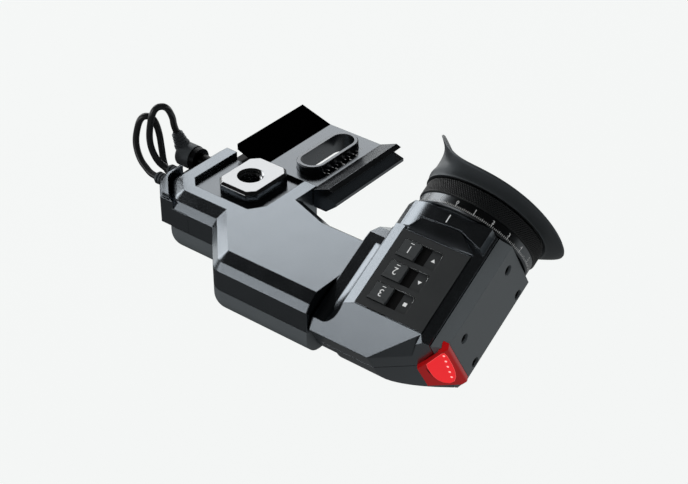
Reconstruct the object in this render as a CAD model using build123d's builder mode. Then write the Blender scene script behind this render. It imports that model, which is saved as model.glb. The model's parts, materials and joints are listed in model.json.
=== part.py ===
"""Camera viewfinder on a mounting arm.

The arm carries a threaded nut plate and a sliding rail plate. The eyepiece housing tilts on
a hollow shaft at the arm's end. It holds a small display, a focusing lens, three push buttons,
a tally lamp and a rubber eyecup. Millimetres. The origin is the middle of the threaded hole
on the nut plate's top face, +X runs along the arm towards the eyepiece, and +Z is up.
"""

from build123d import *
import os
from math import cos, degrees, pi, radians, sin, tan

os.makedirs("parts", exist_ok=True)

# Fits and walls
part_gap = 0.3  # shadow gap between neighbouring covers
slip = 0.1  # locating fit between pieces that stay still
run_fit = 0.05  # radial clearance of a turning or sliding fit
wall = 2.2  # moulded cover wall
seam_gap = 0.3  # open line between an upper and a lower cover

# Nut plate with its threaded hole
thread_bore = 7.98
thread_mouth = 10.9
mouth_deep = 0.4
nut_width = 20.3
nut_length = 25.2
nut_height = 4.7
nut_corner = 3.5
nut_bevel = 1.0
nut_shift_x = 0.5
nut_shift_y = 1.0
spigot_bore_wall = 3.2

# Arm seen from above, at the level of its flat deck
floor_depth = 2.3  # the nut plate stands on the tongue, this far below the deck
deck_z = floor_depth - nut_height
rim_left = -24.7
rim_front = -22.0
corner_cut_x = 8.3
corner_cut_y = 8.4
step_x = 6.6
arm_front = -42.9
step_run = 19.3
arm_end_x = 69.2
arm_deck_width = 36.6
notch_x = 23.4
notch_y = 0.0
oblique_x = 42.0
rim_back = 13.3

# Arm section below the deck: chamfer, ledge, upright wall, seam, rounded bottom
chamfer_out = 4.0
chamfer_down = 3.1
ledge_out = 6.0
ledge_down = 6.3
seam_down = 15.0
arm_depth = 26.5
bottom_round = 7.5
roof = 2.5
deck_corner = 1.6

# Recess for the nut plate
recess_left = -19.2
recess_right = 17.3
recess_front = -16.8
recess_cut = 4.4
tongue_thick = 3.0

# Rail plate
rail_end = 55.9
rail_flange_start = 11.0
rail_top = -0.6
rail_under = -4.0
wing_tip_x = -19.1
wing_rise = 3.8
wing_thick = 2.8
wing_root_x = -3.7
lip_rise = 2.8

# Slot boss on the rail plate
slot_x = 12.2
slot_y = 34.4
slot_width = 9.8
slot_length = 29.5
slot_wall = 1.7
slot_rise = 3.0
slot_flange = 1.5

# Tilt hinge
tilt_y = arm_front + arm_deck_width / 2
tilt_z = deck_z - 14.0
tilt_rest = radians(30)
neck_gap = 0.6
shaft_r = 6.0
shaft_bore_r = 4.2
bush_wall = 1.2
bush_length = 7.0
block_half = 10.0
block_length = 16.7
hub_r = 9.6
hub_thick = 3.0
shaft_collar_r = 7.0
disc_thick = 1.4
disc_r = 10.2
ring_nut_thick = 3.6
ring_nut_r = 9.0
stop_pin_r = 0.8
stop_pin_out = 8.6
pin_seat = 4.0
stop_range = 60.0

# Eyepiece housing, in the tilted frame: X, depth towards the eye, height
eye_x = 101.3
eye_height = 3.4
body_left = 77.9
body_right = 124.1
panel_top = 23.4
shoulder_left = 81.5
shoulder_drop = 1.3
panel_left = 86.2
panel_right = 115.9
bevel_x = 118.9
bevel_height = 18.7
strip_height = 16.5
neck_top = 15.5
neck_bottom = -12.4
housing_front = -20.3
slope_foot = 12.0
slope_head = -7.0
housing_back = 39.0
housing_bottom = -20.5
housing_seam = 4.4
corner_x = 99.2
corner_y = -18.9
corner_angle = radians(28.0)

# Collar and hump at the eye end
collar_top = 25.0
slope_start = 28.0
hump_near = 27.0
hump_far = 33.2

# Button panel and buttons
panel_thick = 2.2
panel_flange = 1.2
panel_front = -6.6
panel_back = 26.6
button_left = 89.3
button_slot = 16.9
button_width = 7.5
button_pitch = 9.65
button_first = 0.45
button_cap = 8.0
button_gap = 0.25
button_travel = 0.8
button_proud = 0.3

# Optics
tube_r = 20.0
tube_bore_r = tube_r - 2.5
tube_start = 36.5
tube_end = 55.4
ring_start = 39.5
ring_joint = 44.0
ring_end = 50.5
scale_r = tube_r + 4.2
grip_r = tube_r + 4.9
focus_travel = 2.0
carrier_start = 38.6
carrier_length = 13.0
lens_r = tube_bore_r - 3.0
optics_half = 12.4
optics_top = 13.6
optics_low = -7.0

# Eyecup
cup_start = 50.8
cup_bore_r = tube_r + 4.1
cup_wall = 1.6
lip_r = tube_r + 13.0
lip_thick = 1.6
lip_root = 4.4


def write_part(node, name):
    """Labels one piece and writes it under its node's name."""
    node.part.label = name
    export_step(node.part, "parts/" + name + ".step")


# Planes

def flat(z):
    """Plane square to +Z of the arm."""
    return Plane.XY.offset(z)


def cross(y):
    """Plane square to Y, drawn in X and Z; a positive extrusion goes to -Y."""
    return Plane(origin=(0, y, 0), x_dir=(1, 0, 0), z_dir=(0, -1, 0))


def axial(x):
    """Plane square to X on the tilt axis; a positive extrusion goes to +X."""
    return Plane(origin=(x, tilt_y, tilt_z), x_dir=(0, 1, 0), z_dir=(1, 0, 0))


tilt_frame = Plane(
    origin=(0, tilt_y, tilt_z), x_dir=(1, 0, 0), z_dir=(0, -sin(tilt_rest), cos(tilt_rest))
)


def level(height):
    """Plane of the tilted frame at one height, drawn in X and depth."""
    return tilt_frame.offset(height)


def station(depth):
    """Plane of the tilted frame at one depth, drawn in X and height; extrudes to the front."""
    return Plane(
        origin=tilt_frame.from_local_coords((0, depth, 0)), x_dir=(1, 0, 0), z_dir=-tilt_frame.y_dir
    )


def side_on(x):
    """Plane of the tilted frame square to X, drawn in depth and height; extrudes to +X."""
    return Plane(
        origin=tilt_frame.from_local_coords((x, 0, 0)), x_dir=tilt_frame.y_dir, z_dir=(1, 0, 0)
    )


def eye_circle(depth):
    """Plane square to the eye axis and centred on it; extrudes towards the eye."""
    return Plane(
        origin=tilt_frame.from_local_coords((eye_x, depth, eye_height)),
        x_dir=(1, 0, 0),
        z_dir=tilt_frame.y_dir,
    )


eye_section = Plane(
    origin=tilt_frame.from_local_coords((eye_x, 0, eye_height)),
    x_dir=tilt_frame.y_dir,
    z_dir=(1, 0, 0),
)
eye_axis = Axis(eye_section.origin, tilt_frame.y_dir)


# Arm covers

arm_back = arm_front + arm_deck_width
oblique_slope = (arm_back - notch_y) / (oblique_x - notch_x)
beyond = 30.0  # how far the plain outlines run past the faces that trim them


# Screws through the bottom cover, into posts under the frame
foot_screw_r = 1.25
foot_head_r = 2.3
foot_head_sink = 1.3
foot_screw_length = 7.0


def foot_screw_places():
    """Places of the bottom cover's four screws."""
    return [
        (rim_left + 7.5, 0.0),
        (rim_left + 11.5, rim_front + 6.0),
        (notch_x - 6.2, 1.0),
        (notch_x + 12.0, arm_front + 9.0),
    ]


def deck_points():
    """Outline of the deck, running on past the trimmed faces and under the notch wall."""
    inner_x = notch_x - ledge_out - 1
    return [
        (rim_left, rim_back + beyond),
        (rim_left, rim_front + corner_cut_y),
        (rim_left + corner_cut_x, rim_front),
        (step_x, rim_front),
        (step_x + step_run, arm_front),
        (arm_end_x + beyond, arm_front),
        (arm_end_x + beyond, arm_back),
        (oblique_x, arm_back),
        (inner_x, notch_y + oblique_slope * (inner_x - notch_x)),
        (inner_x, rim_back + beyond),
    ]


def filled(points):
    """Flat face inside a closed outline of straight lines."""
    with BuildSketch() as face:
        with BuildLine():
            Polyline(*points, close=True)
        make_face()
    return face.sketch


def is_front_corner(corner):
    """True for the outer corners at the front of the arm's outline."""
    at_rim = corner.X < (rim_left + step_x) / 2
    at_arm = corner.Y < (rim_front + arm_front) / 2 and corner.X < arm_end_x
    return corner.Y < rim_front + corner_cut_y + 1 and (at_rim or at_arm)


def arm_outline(out):
    """Deck outline, grown by out."""
    with BuildSketch() as outline:
        add(filled(deck_points()))
        if out:
            offset(amount=out, kind=Kind.INTERSECTION)
        fillet(outline.vertices().filter_by(is_front_corner), radius=max(deck_corner + out, 0.5))
    return outline.sketch


def arm_trim(inset):
    """Block of space kept inside the arm's end and the back of the rim."""
    tall = 2 * arm_depth
    with BuildPart() as keep:
        with BuildSketch(flat(deck_z - tall)):
            add(filled([
                (rim_left - beyond, arm_front - beyond),
                (arm_end_x - inset, arm_front - beyond),
                (arm_end_x - inset, rim_back - inset),
                (rim_left - beyond, rim_back - inset),
            ]))
        extrude(amount=2 * tall)
    return keep.part


def notch_block(top, bottom, inset):
    """The upright part of the arm beside the notch, which has no chamfer."""
    inner_x = notch_x - ledge_out - 6
    with BuildPart() as block:
        with BuildSketch(flat(bottom)):
            add(filled([
                (inner_x, notch_y - ledge_out),
                (notch_x - inset, notch_y - inset),
                (notch_x - inset, rim_back - inset),
                (inner_x, rim_back - inset),
            ]))
        extrude(amount=top - bottom)
    return block.part


seam_z = deck_z - seam_down
ledge_z = deck_z - ledge_down
chamfer_z = deck_z - chamfer_down
bottom_z = deck_z - arm_depth


def recess_outline(inset, back):
    """Outline of the nut plate's recess, smaller by inset, open towards the rail plate."""
    cut = recess_cut
    return filled([
        (recess_left + inset, back),
        (recess_left + inset, recess_front + cut + inset),
        (recess_left + cut + inset, recess_front + inset),
        (recess_right - cut - inset, recess_front + inset),
        (recess_right - inset, recess_front + 1.4 * cut + inset),
        (recess_right - inset, back),
    ])


# End cap outline, which the top cover makes room for
cap_left = -33.0
cap_front = rim_front - ledge_out
cap_seam_x = -9.3
cap_back = 12.4
cap_top = deck_z - 1.2
cap_inner_x = rim_left - ledge_out + wall + 1.2


def cap_outline(grow):
    """Plan of the end cap: its front panel, its rounded left side and its back."""
    return filled([
        (cap_seam_x + grow, cap_front - grow),
        (-24.0, cap_front - grow),
        (-30.2, -21.8),
        (cap_left - grow, -15.0),
        (cap_left - grow, 7.5),
        (-28.5, cap_back + grow),
        (cap_inner_x + grow, cap_back + grow),
        (cap_inner_x + grow, rim_front + corner_cut_y - wall),
        (rim_left + corner_cut_x - wall, rim_front - 1.2),
        (cap_seam_x + grow, rim_front - 1.2),
    ])


# Connector in the cap's left face, behind the clamps
socket_y = 3.4
socket_z = deck_z - 3.7
socket_r = 5.0
socket_stem_r = 3.0


def across(x):
    """Plane square to X on the connector's axis; a positive extrusion goes to +X."""
    return Plane(origin=(x, socket_y, socket_z), x_dir=(0, 1, 0), z_dir=(1, 0, 0))


def arm_cavity():
    """Space inside the top cover: the ledge outline less the wall, up to the roof."""
    with BuildPart() as space:
        with BuildSketch(flat(seam_z)):
            add(arm_outline(ledge_out - wall))
        extrude(amount=ledge_z - seam_z)
        with BuildSketch(flat(ledge_z)):
            add(arm_outline(0))
        extrude(amount=deck_z - roof - ledge_z)
        add(arm_trim(wall), mode=Mode.INTERSECT)
        add(notch_block(deck_z - roof, seam_z, wall))
    return space.part


def lower_arm_cavity():
    """Space inside the bottom cover, stepped in above the rounded bottom edge."""
    with BuildPart() as space:
        with BuildSketch(flat(bottom_z + wall)):
            add(arm_outline(ledge_out - bottom_round))
        extrude(amount=bottom_round)
        with BuildSketch(flat(bottom_z + bottom_round)):
            add(arm_outline(ledge_out - wall))
        extrude(amount=seam_z - bottom_z - bottom_round)
        add(arm_trim(wall), mode=Mode.INTERSECT)
        add(notch_block(seam_z, bottom_z + wall, wall))
    return space.part


with BuildPart() as top_cover:
    with BuildSketch(flat(seam_z)):
        add(arm_outline(ledge_out))
    extrude(amount=ledge_z - seam_z)
    with BuildSketch(flat(ledge_z)):
        add(arm_outline(ledge_out))
    with BuildSketch(flat(chamfer_z)):
        add(arm_outline(chamfer_out))
    loft(ruled=True)
    with BuildSketch(flat(chamfer_z)):
        add(arm_outline(chamfer_out))
    with BuildSketch(flat(deck_z)):
        add(arm_outline(0))
    loft(ruled=True)
    add(arm_trim(0), mode=Mode.INTERSECT)
    add(notch_block(deck_z, seam_z, 0))
    add(arm_cavity(), mode=Mode.SUBTRACT)
    # Window over the tongue, open at the back
    with BuildSketch(flat(deck_z - roof - tongue_thick)):
        add(recess_outline(0, rim_back + 1))
    extrude(amount=roof + tongue_thick + 1, mode=Mode.SUBTRACT)
    # Room for the end cap, below the ledge
    with BuildSketch(flat(seam_z)):
        add(cap_outline(slip))
    extrude(amount=ledge_z - seam_z, mode=Mode.SUBTRACT)
    # Hole for the tilt shaft
    with BuildSketch(axial(arm_end_x - wall - 1)):
        Circle(shaft_collar_r + part_gap)
    extrude(amount=wall + 2, mode=Mode.SUBTRACT)
    # Hole for the stem of the connector socket
    with BuildSketch(across(rim_left - ledge_out)):
        Circle(socket_stem_r + slip)
    extrude(amount=ledge_out + 1, mode=Mode.SUBTRACT)
write_part(top_cover, "top_cover")


with BuildPart() as bottom_cover:
    with BuildSketch(flat(bottom_z)):
        add(arm_outline(ledge_out))
    extrude(amount=seam_z - seam_gap - bottom_z)
    fillet(bottom_cover.faces().sort_by(Axis.Z)[0].edges(), radius=bottom_round)
    add(arm_trim(0), mode=Mode.INTERSECT)
    add(notch_block(seam_z - seam_gap, bottom_z, 0))
    add(lower_arm_cavity(), mode=Mode.SUBTRACT)
    # Hole for the tilt shaft
    with BuildSketch(axial(arm_end_x - wall - 1)):
        Circle(shaft_collar_r + part_gap)
    extrude(amount=wall + 2, mode=Mode.SUBTRACT)
    # Countersunk holes for the cover's own screws
    with BuildSketch(flat(bottom_z)):
        with Locations(*foot_screw_places()):
            Circle(foot_screw_r + slip)
    extrude(amount=wall, mode=Mode.SUBTRACT)
    with BuildSketch(flat(bottom_z)):
        with Locations(*foot_screw_places()):
            Circle(foot_head_r + part_gap)
    extrude(amount=foot_head_sink, mode=Mode.SUBTRACT)
write_part(bottom_cover, "bottom_cover")

with BuildPart() as bottom_cover_screws:
    with BuildSketch(flat(bottom_z + 0.2)):
        with Locations(*foot_screw_places()):
            Circle(foot_head_r)
    extrude(amount=foot_head_sink - 0.2)
    with BuildSketch(flat(bottom_z + foot_head_sink)):
        with Locations(*foot_screw_places()):
            Circle(foot_screw_r)
    extrude(amount=foot_screw_length)
    with BuildSketch(flat(bottom_z + 0.2)):
        with Locations(*foot_screw_places()):
            RegularPolygon(radius=foot_head_r / 2, side_count=6)
    extrude(amount=foot_head_sink / 2, mode=Mode.SUBTRACT)
write_part(bottom_cover_screws, "bottom_cover_screws")

# Nut plate, with a round spigot that locates it in the tongue

floor_z = deck_z - floor_depth
tongue_under = floor_z - tongue_thick
spigot_r = thread_bore / 2 + spigot_bore_wall
nut_screw_r = 1.25
nut_screw_x = nut_width / 2 - 3.2
nut_screw_y = nut_length / 2 - 5.0
nut_screw_depth = 3.0
screw_head_r = 2.2
screw_head_thick = 1.6


def nut_screw_places():
    """The four screws that hold the nut plate from below."""
    return [
        (nut_shift_x + side * nut_screw_x, nut_shift_y + end * nut_screw_y)
        for side in (-1, 1)
        for end in (-1, 1)
    ]


with BuildPart() as nut_plate:
    with BuildSketch(flat(floor_z)):
        with Locations((nut_shift_x, nut_shift_y)):
            Rectangle(nut_width, nut_length)
        chamfer(vertices(), length=nut_corner)
    extrude(amount=nut_height)
    chamfer(nut_plate.faces().sort_by(Axis.Z)[-1].edges(), length=nut_bevel)
    with BuildSketch(flat(tongue_under)):
        Circle(spigot_r)
    extrude(amount=tongue_thick)
    with BuildSketch(flat(tongue_under)):
        Circle(thread_bore / 2)
    extrude(amount=nut_height + tongue_thick, mode=Mode.SUBTRACT)
    with Locations((0, 0, -mouth_deep / 2)):
        Cone(
            bottom_radius=thread_bore / 2, top_radius=thread_mouth / 2, height=mouth_deep, mode=Mode.SUBTRACT
        )
    with BuildSketch(flat(floor_z)):
        with Locations(*nut_screw_places()):
            Circle(nut_screw_r)
    extrude(amount=nut_screw_depth, mode=Mode.SUBTRACT)
write_part(nut_plate, "nut_plate")

with BuildPart() as nut_plate_screws:
    with BuildSketch(flat(tongue_under - screw_head_thick)):
        with Locations(*nut_screw_places()):
            Circle(screw_head_r)
    extrude(amount=screw_head_thick)
    with BuildSketch(flat(tongue_under)):
        with Locations(*nut_screw_places()):
            Circle(nut_screw_r)
    extrude(amount=tongue_thick + nut_screw_depth - part_gap)
    with BuildSketch(flat(tongue_under - screw_head_thick)):
        with Locations(*nut_screw_places()):
            RegularPolygon(radius=screw_head_r / 2, side_count=6)
    extrude(amount=screw_head_thick / 2, mode=Mode.SUBTRACT)
write_part(nut_plate_screws, "nut_plate_screws")


# Rail plate: flared extrusion with a tongue that runs under the nut plate

rail_screw_x = 15.4
rail_screw_front = -8.0
rail_screw_back = 8.2
rail_screw_r = 1.25


def rail_screw_places():
    """The four screws that hold the tongue down on the frame."""
    return [
        (side * rail_screw_x - 0.9, y) for side in (-1, 1) for y in (rail_screw_front, rail_screw_back)
    ]


def slot_outline(grow):
    """Long rounded outline of the slot, grown by a wall."""
    with BuildSketch() as outline:
        with Locations((slot_x, slot_y)):
            SlotOverall(slot_length + 2 * grow, slot_width + 2 * grow, rotation=90)
    return outline.sketch


with BuildPart() as rail_plate:
    with BuildSketch(cross(rail_end)):
        with BuildLine():
            Polyline(
                (wing_tip_x, deck_z + wing_rise),
                (wing_root_x, deck_z + rail_top),
                (notch_x - 0.2, deck_z + rail_top),
                (notch_x + 8.0, deck_z + lip_rise),
                (notch_x + 10.4, deck_z + lip_rise - 0.8),
                (notch_x + 7.0, deck_z + rail_top - 1.0),
                (notch_x + 11.8, deck_z + rail_top - 2.2),
                (notch_x + 11.8, deck_z + rail_top - 3.6),
                (notch_x + 6.6, deck_z - 8.5),
                (notch_x - 1.9, deck_z - 8.5),
                (notch_x - 3.4, deck_z + rail_under),
                (wing_root_x - 0.5, deck_z + rail_under),
                (wing_tip_x, deck_z + wing_rise - wing_thick),
                close=True,
            )
        make_face()
    extrude(amount=rail_end - rail_flange_start)
    # The arm's back edge stands where the plate is cut away, all but its flange
    with BuildSketch(flat(deck_z - arm_depth)):
        with Locations((notch_x + part_gap - beyond, rim_back + part_gap - beyond / 2)):
            Rectangle(2 * beyond, beyond)
    extrude(amount=2 * arm_depth, mode=Mode.SUBTRACT)
    with BuildSketch(flat(tongue_under)):
        add(recess_outline(part_gap, rim_back + 4))
    extrude(amount=tongue_thick)
    with BuildSketch(flat(tongue_under)):
        Circle(spigot_r + slip)
        with Locations(*nut_screw_places()):
            Circle(nut_screw_r + slip)
    extrude(amount=tongue_thick, mode=Mode.SUBTRACT)
    with BuildSketch(flat(tongue_under)):
        with Locations(*rail_screw_places()):
            Circle(rail_screw_r)
    extrude(amount=tongue_thick - 0.6, mode=Mode.SUBTRACT)
    with BuildSketch(flat(deck_z - arm_depth)):
        add(slot_outline(slot_wall + slip))
    extrude(amount=2 * arm_depth, mode=Mode.SUBTRACT)
write_part(rail_plate, "rail_plate")

boss_under = deck_z + rail_under
boss_top = deck_z + slot_rise
with BuildPart() as slot_boss:
    with BuildSketch(flat(boss_under - slot_flange)):
        add(slot_outline(slot_wall))
    extrude(amount=boss_top - boss_under + slot_flange)
    fillet(slot_boss.faces().sort_by(Axis.Z)[-1].edges(), radius=0.5)
    with BuildSketch(flat(boss_under - slot_flange)):
        add(slot_outline(slot_wall + 0.8))
    extrude(amount=slot_flange - 0.02)
    with BuildSketch(flat(boss_under - slot_flange)):
        add(slot_outline(0))
    extrude(amount=boss_top - boss_under + slot_flange + 1, mode=Mode.SUBTRACT)
write_part(slot_boss, "slot_boss")


# Frame inside the arm

frame_top = tongue_under
frame_thick = 3.0
frame_under = frame_top - frame_thick
frame_inset = 2.6
hub_plate_thick = 3.6
bush_r = shaft_r + run_fit + bush_wall
block_end = arm_end_x - wall - part_gap
block_start = block_end - block_length
plate_start = block_start - hub_plate_thick
block_screw_x = 12.2
block_screw_low = -7.0
block_screw_high = 3.0
block_screw_r = 1.25
block_flange_half = 14.5
post_r = 3.0
board_top = -19.1
board_thick = 1.4


def block_screw_places():
    """The four screws between the upright plate and the hinge block, about the tilt axis."""
    return [(side * block_screw_x, height) for side in (-1, 1) for height in (block_screw_low, block_screw_high)]


def board_post_places():
    """Spacers between the frame and the circuit board."""
    return [(-6.5, -12.5), (8.0, -12.5), (0.0, 8.8), (22.0, -20.0)]


def frame_outline():
    """Plan of the frame, clear of the covers all round."""
    return filled([
        (rim_left + part_gap, rim_back - wall - part_gap),
        (rim_left + part_gap, rim_front + corner_cut_y + frame_inset),
        (rim_left + corner_cut_x, rim_front + frame_inset),
        (step_x + frame_inset / 2, rim_front + frame_inset),
        (step_x + step_run + frame_inset / 2, arm_front + frame_inset),
        (plate_start + hub_plate_thick, arm_front + frame_inset),
        (plate_start + hub_plate_thick, arm_back - frame_inset),
        (oblique_x, arm_back - frame_inset),
        (notch_x - wall - frame_inset, notch_y + frame_inset),
        (notch_x - wall - frame_inset, rim_back - wall - part_gap),
    ])


with BuildPart() as mount_frame:
    with BuildSketch(flat(frame_under)):
        add(frame_outline())
    extrude(amount=frame_thick)
    # Clearance for the spigot and for the heads of the nut plate's screws
    with BuildSketch(flat(frame_under)):
        Circle(spigot_r + part_gap)
        with Locations(*nut_screw_places()):
            Circle(screw_head_r + part_gap)
        with Locations(*rail_screw_places()):
            Circle(rail_screw_r + slip)
    extrude(amount=frame_thick, mode=Mode.SUBTRACT)
    # Upright plate that carries the hinge block
    with BuildSketch(axial(plate_start)):
        with Locations((0, (frame_top - tilt_z - block_half) / 2)):
            Rectangle(2 * block_flange_half, frame_top - tilt_z + block_half)
    extrude(amount=hub_plate_thick)
    with BuildSketch(axial(plate_start)):
        Circle(disc_r + 0.5)
        with Locations(*block_screw_places()):
            Circle(block_screw_r + slip)
    extrude(amount=hub_plate_thick, mode=Mode.SUBTRACT)
    # Way through the plate for the end of the shaft and its ring nut
    with BuildSketch(axial(plate_start - 7.0)):
        Circle(ring_nut_r + 0.6)
    extrude(amount=7.0, mode=Mode.SUBTRACT)
    # Spacers for the circuit board
    with BuildSketch(flat(board_top)):
        with Locations(*board_post_places()):
            Circle(1.8)
    extrude(amount=frame_under - board_top)
    # Posts for the bottom cover's screws
    with BuildSketch(flat(bottom_z + wall + part_gap)):
        with Locations(*foot_screw_places()):
            Circle(post_r)
    extrude(amount=frame_under - bottom_z - wall - part_gap)
    with BuildSketch(flat(bottom_z + wall + part_gap)):
        with Locations(*foot_screw_places()):
            Circle(foot_screw_r)
    extrude(amount=8.0, mode=Mode.SUBTRACT)
write_part(mount_frame, "mount_frame")


# Screws of the rail plate's tongue, driven up through the frame

with BuildPart() as rail_plate_screws:
    with BuildSketch(flat(frame_under - screw_head_thick)):
        with Locations(*rail_screw_places()):
            Circle(screw_head_r)
    extrude(amount=screw_head_thick)
    with BuildSketch(flat(frame_under)):
        with Locations(*rail_screw_places()):
            Circle(rail_screw_r)
    extrude(amount=frame_thick + tongue_thick - 1.0)
    with BuildSketch(flat(frame_under - screw_head_thick)):
        with Locations(*rail_screw_places()):
            RegularPolygon(radius=screw_head_r / 2, side_count=6)
    extrude(amount=screw_head_thick / 2, mode=Mode.SUBTRACT)
write_part(rail_plate_screws, "rail_plate_screws")


# Circuit board in the arm, with the plug of the harness at its right end

harness_r = 2.4
board_end = 38.0
with BuildPart() as arm_board:
    with BuildSketch(flat(board_top - board_thick)):
        add(filled([
            (-9.0, 9.0),
            (-9.0, -14.5),
            (5.0, -15.5),
            (20.0, -29.5),
            (board_end, -29.5),
            (board_end, -19.5),
            (30.0, -19.5),
            (12.0, -4.0),
            (4.0, 11.0),
            (-4.0, 11.0),
        ]))
    extrude(amount=board_thick)
    with BuildSketch(flat(board_top)):
        with Locations((board_end - 2.5, tilt_y)):
            Rectangle(5.0, 6.4)
    extrude(amount=tilt_z + 3.0 - board_top)
    with BuildSketch(flat(board_top)):
        with Locations((-2.0, -3.0), (9.0, -8.0)):
            Rectangle(7.0, 5.0)
    extrude(amount=1.2)
write_part(arm_board, "arm_board")


# End cap, with an upper block at its front that carries the two cable clamps

cap_block_back = -7.2
cap_bevel = 1.8


def cap_upper_outline(drop):
    """What stands outside the top cover at the front of the cap; smaller near its top."""
    with BuildSketch() as outline:
        add(cap_outline(0))
        if drop:
            offset(amount=-drop, kind=Kind.INTERSECTION)
        with Locations((cap_left, (cap_front + cap_block_back) / 2 - beyond / 4)):
            Rectangle(2 * beyond, cap_block_back - cap_front + beyond / 2, mode=Mode.INTERSECT)
        add(arm_outline(ledge_out + slip), mode=Mode.SUBTRACT)
    return outline.sketch


with BuildPart() as end_cap:
    with BuildSketch(flat(seam_z + slip)):
        add(cap_outline(0))
    extrude(amount=ledge_z - seam_z - 2 * slip)
    with BuildSketch(flat(ledge_z - 2 * slip)):
        add(cap_upper_outline(0))
    extrude(amount=cap_top - cap_bevel - ledge_z + 2 * slip)
    with BuildSketch(flat(cap_top - cap_bevel)):
        add(cap_upper_outline(cap_bevel / 2))
    extrude(amount=cap_bevel)
    # Hollow inside
    with BuildSketch(flat(seam_z + slip)):
        with Locations(((cap_left + cap_inner_x) / 2, 1.0)):
            Rectangle(1.2, 12.0)
    extrude(amount=3.0, mode=Mode.SUBTRACT)
    # Seat of the socket
    with BuildSketch(across(cap_left - 1)):
        Circle(socket_r + slip)
    extrude(amount=rim_left - ledge_out - cap_left + 1, mode=Mode.SUBTRACT)
    with BuildSketch(across(cap_left)):
        Circle(socket_stem_r + slip)
    extrude(amount=beyond / 3, mode=Mode.SUBTRACT)
write_part(end_cap, "end_cap")

with BuildPart() as connector_socket:
    with BuildSketch(across(cap_left - 0.6)):
        Circle(socket_r)
    extrude(amount=rim_left - ledge_out - slip - cap_left + 0.6)
    with BuildSketch(across(cap_left)):
        Circle(socket_stem_r)
    extrude(amount=rim_left - cap_left - 1.0)
write_part(connector_socket, "connector_socket")


# Cables, their clamps, boots and plug

cable_r = 1.4
clamp_r = 2.6
clamp_z = deck_z - 3.9
clamp_length = 3.0
clamp_front_y = -9.9
clamp_rear_y = -17.0
rib = 0.5


def ribbed(start, end, start_r, end_r, ribs):
    """Tapering sleeve with raised ribs, from one point to another."""
    run = Vector(*end) - Vector(*start)
    pitch = run.length / (2 * ribs)
    with BuildPart() as sleeve:
        for turn in range(2 * ribs):
            radius = start_r + (end_r - start_r) * turn / (2 * ribs - 1)
            if turn % 2:
                radius -= rib
            with BuildSketch(Plane(origin=start, z_dir=run).offset(turn * pitch)):
                Circle(radius)
            extrude(amount=pitch)
    return sleeve.part


clamp_mouth = cap_left - clamp_length
for clamp_name, clamp_y in (("cable_clamp_front", clamp_front_y), ("cable_clamp_rear", clamp_rear_y)):
    with BuildPart() as cable_clamp:
        add(ribbed(
            (cap_left + 1.6, clamp_y, clamp_z), (clamp_mouth, clamp_y, clamp_z), clamp_r, clamp_r, 3
        ))
        add(end_cap.part, mode=Mode.SUBTRACT)
    write_part(cable_clamp, clamp_name)

# The plug stands on the socket; its boot turns up and leans to the left
plug_root = cap_left - 0.6
plug_r = 5.3
plug_length = 7.6
boot_base = (plug_root - 6.0, socket_y + 0.4, socket_z + 0.5)
boot_tip = (-42.4, 2.0, 4.0)
boot_run = (Vector(*boot_tip) - Vector(*boot_base)).normalized()
boot_start = Vector(*boot_base) + boot_run * 4.4
with BuildPart() as elbow_plug:
    with BuildSketch(across(plug_root - plug_length)):
        Circle(plug_r)
    extrude(amount=plug_length)
    fillet(elbow_plug.faces().sort_by(Axis.X)[0].edges(), radius=1.2)
    with BuildSketch(Plane(origin=boot_base, z_dir=boot_run)):
        Circle(3.4)
    extrude(amount=4.4)
write_part(elbow_plug, "elbow_plug")

with BuildPart() as cable_boot:
    add(ribbed(tuple(boot_start), boot_tip, 3.1, 2.3, 4))
    add(elbow_plug.part, mode=Mode.SUBTRACT)
write_part(cable_boot, "cable_boot")

rear_boot_mouth = (-37.4, -4.6, -12.8)
with BuildPart() as boot_rear:
    add(ribbed((cap_left, rear_boot_mouth[1], rear_boot_mouth[2]), rear_boot_mouth, 2.3, 1.9, 4))
write_part(boot_rear, "boot_rear")

front_route = [
    (clamp_mouth, clamp_front_y, clamp_z),
    (-38.2, clamp_front_y, clamp_z),
    (-41.7, -10.9, -3.8),
    (-43.7, -12.3, 2.9),
    (-43.1, -13.0, 10.8),
    (-40.5, -12.2, 22.2),
    (-38.0, -7.4, 22.2),
    (-39.0, -3.0, 14.6),
    (-43.28, 1.44, 7.02),
    boot_tip,
]
rear_route = [
    (clamp_mouth, clamp_rear_y, clamp_z),
    (-39.4, clamp_rear_y, clamp_z),
    (-43.4, -15.9, -5.2),
    (-47.2, -15.0, -3.6),
    (-50.3, -14.0, 0.9),
    (-51.1, -13.0, 6.2),
    (-48.6, -11.8, 15.6),
    (-44.0, -9.2, 15.8),
    (-42.6, -7.8, 8.6),
    (-43.0, -6.6, -0.6),
    (-43.4, -5.6, -8.4),
    (-41.9, -4.7, -12.8),
    rear_boot_mouth,
]


def corner_radii(route):
    """For each inner point, 0.45 of the shorter run over the tangent of half the turn."""
    radii = []
    for before, here, after in zip(route, route[1:], route[2:]):
        arriving = Vector(*here) - Vector(*before)
        leaving = Vector(*after) - Vector(*here)
        half_turn = radians(arriving.get_angle(leaving)) / 2
        radii.append(0.45 * min(arriving.length, leaving.length) / tan(half_turn))
    return radii


for cable_name, route in (("cable_front", front_route), ("cable_rear", rear_route)):
    radii = corner_radii(route)
    with BuildPart() as cable:
        with BuildLine() as path:
            FilletPolyline(*route, radius=radii)
        with BuildSketch(Plane(origin=route[0], z_dir=Vector(*route[1]) - Vector(*route[0]))):
            Circle(cable_r)
        sweep(path=path.wires()[0])
    length = path.wires()[0].length
    section = pi * cable_r**2
    print(cable_name, "length", round(length, 1), "radii", [round(radius, 1) for radius in radii])
    print(cable_name, "volume over section times length", round(cable.part.volume / section / length, 4))
    write_part(cable, cable_name)


# Tilt hinge: block and bushes in the arm, hollow shaft that carries the eyepiece housing

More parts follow.
